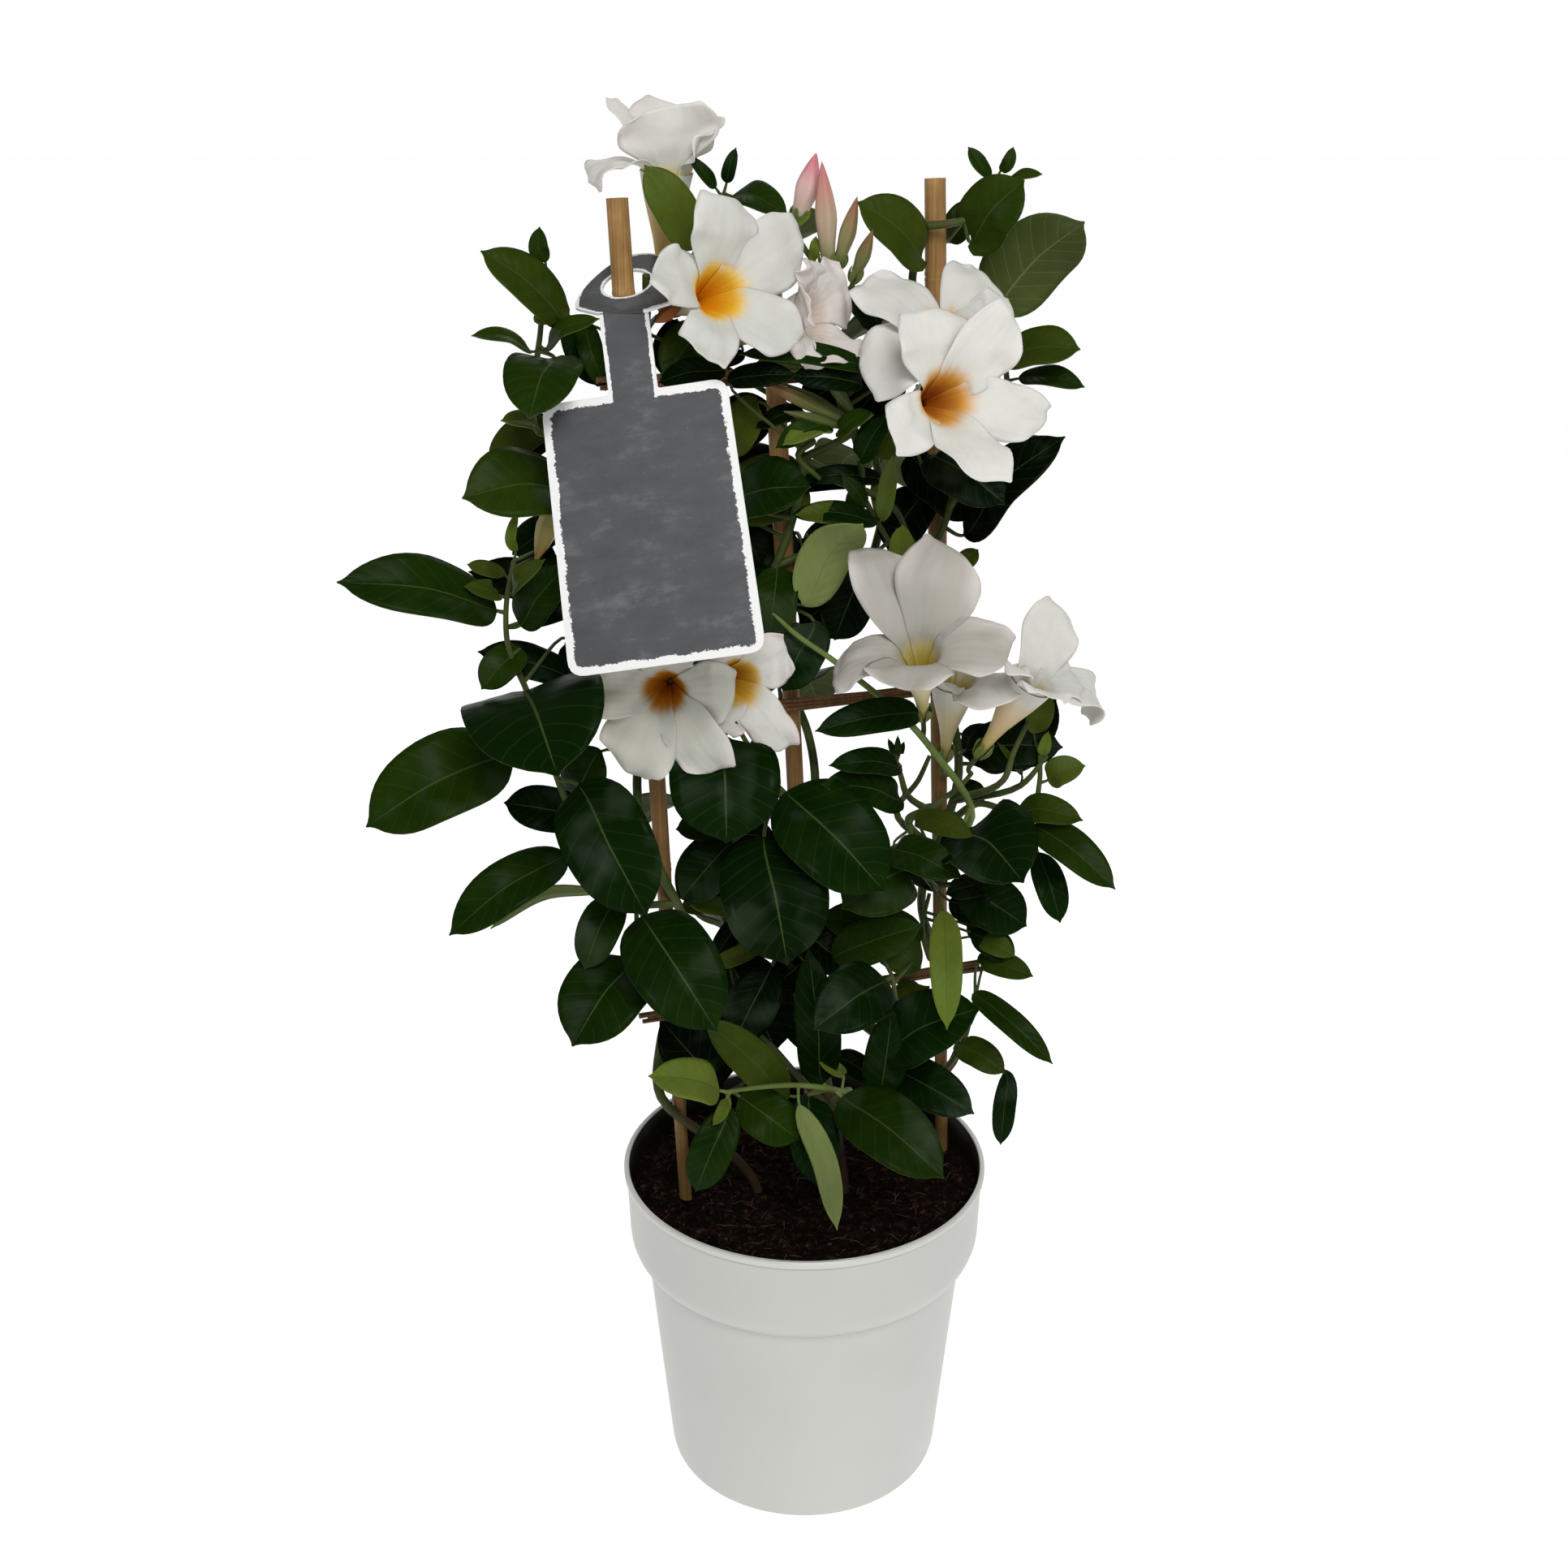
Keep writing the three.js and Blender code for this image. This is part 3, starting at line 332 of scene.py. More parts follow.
def peat(name, tones):
    nodes = Nodes(name)
    coarse = nodes.noise(240, 8, rough=0.7)
    fine = nodes.noise(900, 6, rough=0.8)
    grain = nodes.plus(nodes.times(coarse, 0.6), nodes.times(fine, 0.4))
    nodes.colour(nodes.ramp(grain, list(zip((0.38, 0.52, 0.60, 0.70), tones))))
    nodes.surface(0.95, 0.04)
    nodes.bump(grain, 0.9, 0.003)
    return nodes.block


def fibre():
    nodes = Nodes("fibre")
    nodes.colour(nodes.ramp(nodes.noise(300, 3), [
        (0.35, (0.018, 0.008, 0.004)), (0.65, (0.085, 0.042, 0.022))]))
    nodes.surface(0.9)
    return nodes.block


caneSkin = {
    "worn": [(0.35, (0.45, 0.38, 0.3)), (0.65, (1, 1, 1))],
    "foliageShade": [(0.2, (0.50, 0.46, 0.38)), (0.42, (0.55, 0.50, 0.42)), (0.56, (1, 0.97, 0.88))],  # painted shade from the foliage: darker lower down, by height
}


def bamboo(name, light, dark):
    nodes = Nodes(name)
    streaks = nodes.noise(1, 6, nodes.stretched(nodes.place(), (900, 900, 14)), 0.7)
    base = nodes.ramp(streaks, [(0.3, dark), (0.7, light)])
    worn = nodes.ramp(nodes.noise(28, 4), caneSkin["worn"])
    # painted shade: canes and bars grow darker lower down, where the foliage shades them
    foliageShade = nodes.ramp(nodes.axes()[2], caneSkin["foliageShade"])
    nodes.colour(nodes.blend(1.0, nodes.blend(0.75, base, worn, "MULTIPLY"), foliageShade, "MULTIPLY"))
    nodes.surface(0.5, 0.15)
    nodes.bump(streaks, 0.35, 0.0006)
    return nodes.block


leafSkin = {
    "mottle": 0.22, "midrib": 0.03, "midribTaper": -0.018, "sideVeins": 11.0, "sideVeinSlant": 0.16,
    "sideVein": 0.045, "veinStrength": 0.75, "paintedSheen": (0.12, 0.16, 0.11, 1), "specular": 0.032,
    "paintedGloss": [(0.56, (0, 0, 0)), (0.74, (0.16, 0.16, 0.16))],
    # the lowest tints are near black: painted shade for leaves deep in the foliage
    "top": [(0.0, (0.0008, 0.0034, 0.0004)), (0.3, (0.0032, 0.0140, 0.0009)), (0.45, (0.013, 0.030, 0.0016)),
            (0.6, (0.036, 0.054, 0.0045)), (1.0, (0.15, 0.21, 0.03))],
    "under": [(0.0, (0.022, 0.036, 0.010)), (0.4, (0.050, 0.068, 0.016)), (1.0, (0.22, 0.27, 0.09))],
}


def leafSide(name, tones, veinTone, veinShare, roughness, relief):
    # the tone comes from the leaf's tint attribute: its own green, with painted shade (near black) for leaves
    # deep in the foliage and painted backlight on some high ones; the leaf's own map carries the midrib and
    # the side veins
    nodes = Nodes(name)
    tintAndShade = nodes.add("Attribute", attribute_name="tintAndShade").outputs["Fac"]
    cloud = nodes.noise(70, 4)
    base = nodes.ramp(nodes.plus(tintAndShade, nodes.times(nodes.minus(cloud, 0.5), leafSkin["mottle"])), tones)
    u, along = nodes.axes(nodes.uv())[:2]
    across = nodes.size(nodes.maths("MULTIPLY_ADD", u, 2.0, -1.0))
    midribWidth = nodes.maths("MULTIPLY_ADD", along, leafSkin["midribTaper"], leafSkin["midrib"])
    midrib = nodes.maths("LESS_THAN", across, midribWidth)
    slope = nodes.minus(along, nodes.times(across, leafSkin["sideVeinSlant"]))
    ridge = nodes.size(nodes.minus(nodes.maths("FRACT", nodes.times(slope, leafSkin["sideVeins"])), 0.5))
    side = nodes.maths("LESS_THAN", ridge, leafSkin["sideVein"])
    veins = nodes.maths("MAXIMUM", midrib, nodes.times(side, veinShare), clamp=True)
    # painted highlights: soft pale grey-green patches mixed into the colour in place of gloss
    base = nodes.blend(nodes.ramp(nodes.noise(38, 2), leafSkin["paintedGloss"]), base, leafSkin["paintedSheen"])
    nodes.colour(nodes.blend(nodes.times(veins, leafSkin["veinStrength"]), base, veinTone))
    nodes.surface(nodes.plus(nodes.times(cloud, 0.15), roughness), leafSkin["specular"])
    swell = nodes.minus(nodes.maths("POWER", nodes.times(ridge, 2.0), 0.5), nodes.times(midrib, 1.5))
    nodes.bump(swell, relief, 0.0006)
    return nodes.block


stemSkin = {
    "woody": [(0.3, (0.022, 0.012, 0.007)), (0.7, (0.085, 0.050, 0.028))],
    "greenFrom": [(0.20, (0, 0, 0)), (0.235, (1, 1, 1))],  # by height
}


def stemGreen(name, tones):
    # woody and brown at the foot, greener higher up
    nodes = Nodes(name)
    patches = nodes.noise(45, 4)
    young = nodes.ramp(patches, list(zip((0.3, 0.55, 0.75), tones)))
    woody = nodes.ramp(patches, stemSkin["woody"])
    green = nodes.ramp(nodes.plus(nodes.axes()[2], nodes.times(patches, 0.05)), stemSkin["greenFrom"])
    nodes.colour(nodes.blend(green, woody, young))
    nodes.surface(0.5, 0.15)
    nodes.bump(nodes.noise(600, 3), 0.2, 0.0004)
    return nodes.block


petalSkin = {"Subsurface Weight": 0.2, "Subsurface Scale": 0.004, "Subsurface Radius": (1.0, 0.8, 0.6)}


def paintedByPoint(name, roughness, relief):
    # colour from the mesh's own "paint" attribute, softly mottled
    nodes = Nodes(name)
    paint = nodes.add("Attribute", attribute_name="paint").outputs["Color"]
    mottle = nodes.ramp(nodes.noise(90, 4), [(0.3, (0.93, 0.93, 0.92)), (0.7, (1, 1, 1))])
    nodes.colour(nodes.blend(1.0, paint, mottle, "MULTIPLY"))
    nodes.surface(roughness, 0.25)
    stripes = nodes.maths("SINE", nodes.times(nodes.axes(nodes.uv())[0], 46.0))
    nodes.bump(nodes.plus(nodes.times(stripes, 0.25), nodes.noise(220, 3)), relief, 0.0006)
    for socket, value in petalSkin.items():
        nodes.shader.inputs[socket].default_value = value
    return nodes.block


potMaterial = potPlastic()
peatMaterial = peat("peat", (
    (0.0015, 0.0008, 0.0005), (0.008, 0.0042, 0.0026), (0.040, 0.020, 0.012), (0.20, 0.14, 0.10)))
crumbMaterial = peat("peatCrumbs", (
    (0.002, 0.0012, 0.001), (0.026, 0.012, 0.008), (0.10, 0.055, 0.035), (0.42, 0.34, 0.26)))
fibreMaterial = fibre()
caneMaterial = bamboo("caneBamboo", (0.66, 0.43, 0.19), (0.34, 0.19, 0.075))
barMaterial = bamboo("barBamboo", (0.34, 0.20, 0.09), (0.13, 0.07, 0.03))
leafTopMaterial = leafSide("leafTop", leafSkin["top"], (0.05, 0.08, 0.02, 1), 0.16, 0.26, 0.16)
leafUnderMaterial = leafSide("leafUnder", leafSkin["under"], (0.12, 0.16, 0.06, 1), 0.4, 0.5, 0.2)
stemMaterial = stemGreen("stemGreen", ((0.020, 0.032, 0.008), (0.055, 0.080, 0.018), (0.085, 0.062, 0.028)))
paleStemMaterial = stemGreen("paleStem", ((0.075, 0.11, 0.022), (0.13, 0.18, 0.045), (0.15, 0.17, 0.05)))
petalMaterial = paintedByPoint("petalSkin", 0.55, 0.22)
budMaterial = paintedByPoint("budSkin", 0.45, 0.25)
print("materials ready")


pot = {
    "height": 156.5, "rim": 85.0, "base": 65.0, "bandDrop": 45.0, "step": 75.2, "band": 82.8, "wall": 2.4,
    "floor": 3.2, "steps": 96, "holeRadius": 4.5, "holeCircle": 44.0, "holes": 6,
    "shoulder": [(0, 0), (1.9, 0.8), (4.4, 3), (6.2, 6), (7.2, 9)],  # out and up from the step
    "bandFoot": 12.5, "groove": (-1.3, -4.6),  # the groove and the lip are out and up from the rim's top
    "lip": [(-1.2, -3.9), (-0.3, -3.3), (0, -2.6), (0, -0.7), (-0.6, 0)],
}


def makePot():
    height, rim, base, step, band = (pot[key] for key in ("height", "rim", "base", "step", "band"))
    wall, floor, foot = pot["wall"], pot["floor"], height - pot["bandDrop"]
    outside = lambda level: base + (step - base) / foot * level
    profile = [(base - 3.6, 0), (base - 1.6, 0.5), (outside(1.8) - 0.3, 1.8), (outside(4), 4)]
    profile += [(outside(foot * share), foot * share) for share in (0.25, 0.5, 0.75, 0.97)]
    profile += [(step + out, foot + rise) for out, rise in pot["shoulder"]]
    out, rise = rim + pot["groove"][0], height + pot["groove"][1]
    profile += [(mix(band, out, share), mix(foot + pot["bandFoot"], rise, share))
                for share in (0, 0.35, 0.7, 1)]
    profile += [(rim + out, height + rise) for out, rise in pot["lip"]]
    profile += [(rim - wall + 0.5, height), (rim - wall, height - 0.6), (band - wall, foot + 12),
                (step + 4 - wall, foot + 6), (step - wall, foot), (outside(floor) - wall, floor)]
    piece = turnedShape("potShell", profile, pot["steps"])
    cutters = []
    for i in range(pot["holes"]):
        angle = 2 * math.pi * i / pot["holes"]
        spot = metres((pot["holeCircle"] * math.cos(angle), pot["holeCircle"] * math.sin(angle), 0))
        bpy.ops.mesh.primitive_cylinder_add(
            vertices=24, radius=pot["holeRadius"] * 0.001, depth=0.02, location=spot)
        cutters.append(bpy.context.object)
    cutter = joinAs("drainCutter", cutters)
    applyModifier(piece, "BOOLEAN", operation="DIFFERENCE", solver="EXACT", object=cutter)
    bpy.data.objects.remove(cutter)
    smoothShade(piece, 35)
    coverWith(piece, potMaterial)
    finishPiece(piece, "pot", "pot")


makePot()
print("pot ready")


soil = {
    "top": 144.5, "radius": 81.2, "rings": 44, "steps": 120, "gap": 0.4, "relief": 2.4,
    "lumps": [(0.045, 1.7, 0.9), (0.16, 4.1, 0.7), (0.5, 8.3, 0.35)],  # scale, seed and height
    "crumbs": 900, "crumbReach": 78, "crumbSize": (0.4, 1.0), "largeCrumb": 1.2,
    "fibres": 170, "fibreReach": 74, "fibreLength": (3, 10), "fibreRadius": (0.14, 0.3),
}


def soilHeightAt(x, y):
    return soil["top"] + soil["relief"] * sum(
        noise.noise(Vector((x * scale, y * scale, seed))) * height for scale, seed, height in soil["lumps"])


def looseSpot(reach):
    angle = random.uniform(0, 2 * math.pi)
    away = reach * math.sqrt(random.random())
    return away * math.cos(angle), away * math.sin(angle)


def makeSoilBed():
    foot = pot["height"] - pot["bandDrop"]
    wall = pot["wall"] + soil["gap"]
    inner = lambda level: pot["base"] + (pot["step"] - pot["base"]) * level / foot - wall
    profile = [(inner(pot["floor"]), pot["floor"] + soil["gap"]), (inner(foot), foot),
               (inner(foot) + 3.6, foot + 6), (pot["band"] - wall, foot + 12.6)]
    rings = soil["rings"]
    profile += [(soil["radius"] * (1 - i / rings), soil["top"]) for i in range(rings)]
    piece = turnedShape("soilBed", profile, soil["steps"])
    for vertex in piece.data.vertices:
        if vertex.co.z > 0.001 * (soil["top"] - 0.5):
            vertex.co.z = soilHeightAt(vertex.co.x * 1000, vertex.co.y * 1000) * 0.001
    coverWith(piece, peatMaterial)
    smoothShade(piece, 60)
    finishPiece(piece, "soil", "soil")


def makeCrumbs():
    bpy.ops.mesh.primitive_ico_sphere_add(subdivisions=1, radius=0.001)
    crumb = bpy.context.object
    loose = []
    for i in range(soil["crumbs"]):
        x, y = looseSpot(soil["crumbReach"])
        size = random.uniform(*soil["crumbSize"]) + soil["largeCrumb"] * random.random() ** 3
        copy = copyMesh(crumb, "crumb")
        for vertex in copy.data.vertices:
            vertex.co *= random.uniform(0.7, 1.25)
            vertex.co.z *= 0.7
            vertex.co = vertex.co * size + metres((x, y, soilHeightAt(x, y) + 0.3 * size))
        loose.append(copy)
    bpy.data.objects.remove(crumb)
    crumbs = joinAs("soilCrumbs", loose)
    coverWith(crumbs, crumbMaterial)
    finishPiece(crumbs, "soil")


def makeFibres():
    tubes = []
    for i in range(soil["fibres"]):
        x, y = looseSpot(soil["fibreReach"])
        heading, length = random.uniform(0, math.pi), random.uniform(*soil["fibreLength"])
        step = Vector((math.cos(heading), math.sin(heading), 0)) * length / 2
        points = []
        for k in (-1, 0, 1):
            spot = Vector((x, y, 0)) + step * k
            spot.z = soilHeightAt(spot.x, spot.y) + 0.4 + (0.6 if k == 0 else 0)
            points.append(spot)
        tubes.append((points, [0.12, random.uniform(*soil["fibreRadius"]), 0.1]))
    fibres = tubesAs("soilFibres", tubes, 1)
    coverWith(fibres, fibreMaterial)
    finishPiece(fibres, "soil")


makeSoilBed()
makeCrumbs()
makeFibres()
print("soil ready")


rack = {
    "footRadius": 3.1, "topRadius": 4.6, "step": 5, "play": 0.2, "waver": 0.12,
    "jointSwell": 0.42, "jointReach": 3, "jointGroove": 0.5, "jointRings": (-2.2, -0.9, 0, 0.9, 2.4),
    "canes": {
        "left": {"foot": (-48, -14, 20), "bend": (-53, -16, 112), "low": (-55.5, -16.5, soil["top"]),
                 "top": (-73, -16.5, 588), "joints": (196, 312, 430, 552)},
        "middle": {"foot": (7, 4.5, 20), "bend": (6, 4.5, 112), "low": (5, 4.5, soil["top"]),
                   "top": (-16, 4.5, 578), "joints": (178, 300, 421, 540)},
        "right": {"foot": (48, 18, 20), "bend": (59.5, 22.5, 112), "low": (67.5, 25.5, soil["top"]),
                  "top": (51, 25.5, 594), "joints": (205, 322, 438, 556)},
    },
    "bars": {
        "low": {"height": 244, "overhang": (17, 20)},
        "middle": {"height": 382, "overhang": (15, 16)},
        "top": {"height": 520, "overhang": (15, 15)},
    },
    "barGap": 0.4, "barRadius": 2.2, "barSteps": 12, "strandRadius": 1.15,
    "strands": ((1.75, 0.2, 0), (-0.1, -0.3, 4), (-1.8, 0.3, 1.5)),  # rise, inset and trimmed length
}


def canePoint(side, height):
    cane = rack["canes"][side]
    low, top = Vector(cane["low"]), Vector(cane["top"])
    return low.lerp(top, (height - low.z) / (top.z - low.z))


def caneRadiusAt(side, height):
    low, top = rack["canes"][side]["low"][2], rack["canes"][side]["top"][2]
    return mix(rack["footRadius"], rack["topRadius"], min(1, max(0, (height - low) / (top - low))))


def makeCane(side):
    cane = rack["canes"][side]
    points = [Vector(cane["foot"]), Vector(cane["bend"])]
    radii = [rack["footRadius"]] * 2
    low, top, step, reach = soil["top"], cane["top"][2], rack["step"], rack["jointReach"]
    heights = [low + step * i for i in range(int((top - low) / step) + 1)]
    for joint in cane["joints"]:
        heights += [joint + rise for rise in rack["jointRings"]]
    for height in sorted(heights) + [top]:
        radius = caneRadiusAt(side, height) - rack["play"]
        for joint in cane["joints"]:
            away = abs(height - joint)
            if away < reach:
                radius += rack["jointSwell"] * (1 - away / reach)
                radius -= rack["jointGroove"] if away < 0.3 else 0
        points.append(canePoint(side, height))
        radii.append(radius + rack["waver"] * math.sin(height * 0.06))
    return tubesAs(f"cane{side.title()}", [(points, radii)], 4)


def makeBar(name):
    bar = rack["bars"][name]
    left, right = canePoint("left", bar["height"]), canePoint("right", bar["height"])
    along = (right - left).normalized()
    forward = Vector((along.y, -along.x, 0)).normalized()
    clear = caneRadiusAt("left", bar["height"]) + rack["barGap"] + rack["barRadius"]
    start = left - along * bar["overhang"][0] + forward * clear
    length = (right - left).length + sum(bar["overhang"])
    strands = []
    for rise, inset, trim in rack["strands"]:
        points, radii = [], []
        for i in range(rack["barSteps"] + 1):
            share = i / rack["barSteps"]
            spot = start + along * mix(trim, length - trim * 0.7, share) + forward * inset
            spot += up * (rise + 0.35 * math.sin(9 * share + rise * 3))
            points.append(spot)
            radii.append(rack["strandRadius"] + 0.15 * math.sin(23 * share + rise))
        strands.append((points, radii))
    return tubesAs(f"bar{name.title()}", strands)


def finishRod(piece, material, node):
    coverWith(piece, material)
    smoothShade(piece, 50)
    finishPiece(piece, "cane", node)


for side in rack["canes"]:
    finishRod(makeCane(side), caneMaterial, f"cane_{side}")
for name in rack["bars"]:
    finishRod(makeBar(name), barMaterial, f"bar_{name}")
print("rack ready")


tag = {
    "bend": (-70.5, -32, 547.7), "fold": (0.978, -0.051, 0.151), "upward": (0.12, 0.88, 0.47),
    "downward": (0.135, -0.4, -1), "thickness": 1.0, "neck": 9.5, "neckLength": 31.0, "topSide": 35.8,
    "endSide": 38.0, "end": 135.4, "corner": 6.0, "mapScale": 200.0,
    "collar": [(9.5, -1.2), (20.5, 4.0), (20.5, 12.0), (17.2, 23.0), (11.5, 33.2), (4.9, 39.5)],
    "collarCorners": [0.5, 3, 6, 9, 9, 7], "eggHalf": (20.5, 28.0), "eggMiddle": 12.0,
    "hole": 9.4, "holeSpot": (-2.0, 18.5), "holeSteps": 36,
    "boardEdge": 3.1, "neckEdge": 1.5, "collarEdge": 1.2, "holeEdge": 1.1,  # widths of the white edge
    "slate": [(0.36, (0.040, 0.042, 0.045)), (0.52, (0.062, 0.064, 0.068)), (0.66, (0.15, 0.152, 0.157))],
    "chalk": [(0.0, (0.84, 0.84, 0.83)), (0.25, (0.9, 0.9, 0.89))], "speck": (0.55, 0.55, 0.54, 1),
}


def tagBoardMaterial():
    # slate board with a brushed white edge; the piece's own map holds millimetres / mapScale,
    # and the collar's part of it is below zero
    nodes = Nodes("tagBoard")
    plus, minus, times = nodes.plus, nodes.minus, nodes.times
    x, along = (times(axis, tag["mapScale"]) for axis in nodes.axes(nodes.uv())[:2])
    across = nodes.size(x)
    # how far outside the board's rounded outline a point is, in millimetres
    spread = (tag["endSide"] - tag["topSide"]) / (tag["end"] - tag["neckLength"])
    side = plus(times(minus(along, tag["neckLength"]), spread), tag["topSide"] - tag["corner"])
    half = (tag["end"] - tag["neckLength"]) / 2
    overSide = minus(across, side)
    overEnd = minus(nodes.size(minus(along, tag["neckLength"] + half)), half - tag["corner"])
    rounded = nodes.length(nodes.most(overSide, 0.0), nodes.most(overEnd, 0.0))
    board = minus(plus(rounded, nodes.least(nodes.most(overSide, overEnd), 0.0)), tag["corner"])
    neck = nodes.most(minus(across, tag["neck"]), minus(along, tag["neckLength"] + 8))
    onBoard = nodes.least(times(board, 1 / tag["boardEdge"]), times(neck, 1 / tag["neckEdge"]))
    # the collar: an egg shape with its hole, and the straight edges beside the fold
    upward = times(along, -1.0)
    width, height = tag["eggHalf"]
    egg = nodes.length(times(x, 1 / width), times(minus(upward, tag["eggMiddle"]), 1 / height))
    egg = times(minus(egg, 1.0), width)
    cut = minus(times(minus(across, tag["neck"]), 0.44), times(plus(upward, 1.2), 0.9))
    away = nodes.length(minus(x, tag["holeSpot"][0]), minus(upward, tag["holeSpot"][1]))
    hole = times(minus(tag["hole"], away), 1 / tag["holeEdge"])
    onCollar = nodes.most(times(nodes.most(egg, cut), 1 / tag["collarEdge"]), hole)
    isCollar = nodes.maths("LESS_THAN", along, 0.0)
    edge = plus(times(isCollar, onCollar), times(minus(1.0, isCollar), onBoard))
    ragged = minus(nodes.noise(26, 3, nodes.uv()), 0.5)
    bristles = times(minus(nodes.noise(150, 5, nodes.uv(), 0.75), 0.5), 1.3)
    painted = nodes.maths("GREATER_THAN", plus(edge, plus(ragged, bristles)), -1.0)
    # chalk smears: soft clouds with slanting strokes and a few specks
    strokes = nodes.noise(1.0, 7, nodes.stretched(nodes.uv(), (9, 26, 1), 0.45), 0.72)
    smudge = plus(times(strokes, 0.45), times(nodes.noise(7, 5, nodes.uv(), 0.6), 0.55))
    specks = nodes.ramp(nodes.noise(420, 1, nodes.uv()), [(0.765, (0, 0, 0)), (0.79, (1, 1, 1))])
    slate = nodes.blend(times(specks, 0.8), nodes.ramp(smudge, tag["slate"]), tag["speck"])
    nodes.colour(nodes.blend(painted, slate, nodes.ramp(bristles, tag["chalk"])))
    nodes.surface(plus(times(smudge, 0.25), 0.4))
    nodes.bump(plus(times(painted, 0.3), smudge), 0.12, 0.0002)
    return nodes.block


def roundedCorners(points, radii, count=5):
    rounded = []
    for i, (point, radius) in enumerate(zip(points, radii)):
        before, after = Vector(points[i - 1]), Vector(points[(i + 1) % len(points)])
        corner = Vector(point)
        cut = min(radius, (before - corner).length / 2, (after - corner).length / 2)
        a = corner + (before - corner).normalized() * cut
        b = corner + (after - corner).normalized() * cut
        for k in range(count + 1):
            s = k / count
            rounded.append(a * (1 - s) ** 2 + corner * 2 * s * (1 - s) + b * s ** 2)
    return rounded


def tagSheet(name, outline, hole, along, sign):
    # the outline's points are (across, along) from the bend; sign is -1 on the collar's side of the map
    along = Vector(along).normalized()
    normal = Vector(tag["fold"]).cross(along).normalized()
    side = along.cross(normal)
    spots, edges = [], []
    for loop in [outline] + ([hole] if hole else []):
        start = len(spots)
        spots += [Vector((x, y, -0.5 * tag["thickness"])) for x, y in loop]
        edges += [(start + i, start + (i + 1) % len(loop)) for i in range(len(loop))]
    mesh = bpy.data.meshes.new(name)
    mesh.from_pydata([s * 0.001 for s in spots], edges, [])
    piece = newPiece(name, mesh)
    selectOnly(piece)
    bpy.ops.object.mode_set(mode="EDIT")
    bpy.ops.mesh.select_all(action="SELECT")
    bpy.ops.mesh.fill(use_beauty=True)
    bpy.ops.mesh.select_all(action="SELECT")
    bpy.ops.mesh.extrude_region_move(TRANSFORM_OT_translate={"value": (0, 0, 0.001 * tag["thickness"])})
    faceOutward()
    layer = piece.data.uv_layers.new(name="sheetMap")
    for loop in piece.data.loops:
        spot = piece.data.vertices[loop.vertex_index].co * 1000
        layer.data[loop.index].uv = (spot.x / tag["mapScale"], sign * spot.y / tag["mapScale"])
    turn = Matrix((side, along, normal)).transposed().to_4x4()
    piece.data.transform(Matrix.Translation(metres(tag["bend"])) @ turn)
    return piece


def mirrored(half):
    return half + [(-x, y) for x, y in reversed(half)]


def makeTag():
    corners = tag["collarCorners"]
    collar = roundedCorners(mirrored(tag["collar"]), corners + corners[::-1])
    x, y = tag["holeSpot"]
    turns = (2 * math.pi * i / tag["holeSteps"] for i in range(tag["holeSteps"]))
    hole = [(x + tag["hole"] * math.cos(turn), y + tag["hole"] * math.sin(turn)) for turn in turns]
    plate = tagSheet("tagCollar", collar, hole, tag["upward"], -1)
    half = [(tag["neck"], -0.4), (tag["neck"], tag["neckLength"]), (tag["topSide"], tag["neckLength"]),
            (tag["endSide"], tag["end"])]
    corners = [0.5, 1, tag["corner"], tag["corner"] * 1.1]
    board = roundedCorners(mirrored(half), corners + corners[::-1])
    sheet = tagSheet("tagBoard", board, None, tag["downward"], 1)
    piece = joinAs("hangTag", [plate, sheet])
    coverWith(piece, tagBoardMaterial())
    smoothShade(piece, 30)
    finishPiece(piece, "tag", "tag")


makeTag()
print("tag ready")


flower = {
    "tubeLength": 46.0, "across": 16, "along": 26, "thickness": 0.45, "bend": 12, "spineSteps": 14,
    "tilt": 0.14, "ruffle": 2.0, "wrap": 0.84, "overlap": 0.45, "tubeSteps": 30,
    "throat": [(1.2, -22.0), (4.4, -14.6), (7.4, -7.0)], "root": (9.8, -0.9), "throatShare": 0.3,
    "knee": 0.56, "funnelFoot": [(1.6, 0), (2.1, 5)],  # the tube's foot, measured from its end
    "funnel": [(2.9, -34), (4.1, -27.5), (6.0, -20.5), (8.0, -13.5), (9.4, -7.5), (10.2, -3.2), (10.5, -1.9),
               (10.2, -2.0), (9.2, -5.4), (7.2, -10.8), (4.6, -17), (2.0, -22.6), (0.4, -25)],
    "foot": (0.42, 0.34, 0.07), "skin": (0.70, 0.60, 0.38), "white": (0.69, 0.68, 0.63), "ringEnd": 0.42,
    "funnelDepth": 26, "funnelSlope": 0.36, "skinEnd": -20, "whiteFrom": (-18, -3), "blush": 0.7,
    "crease": -0.55, "creaseWidth": 0.12, "creaseEnd": 0.6, "tipFrom": 0.72,
    "leftEdge": [(0, 0.52), (0.2, 0.76), (0.42, 0.97), (0.6, 1.0), (0.8, 0.88), (1, 0.62)],
    "rightEdge": [(0, 0.52), (0.2, 0.78), (0.45, 0.98), (0.68, 1.02), (0.87, 0.92), (1, 0.7)],
    "end": [(-1, 0.80), (-0.6, 0.885), (0, 0.935), (0.6, 0.965), (0.9, 1.0), (1, 0.985)],
}

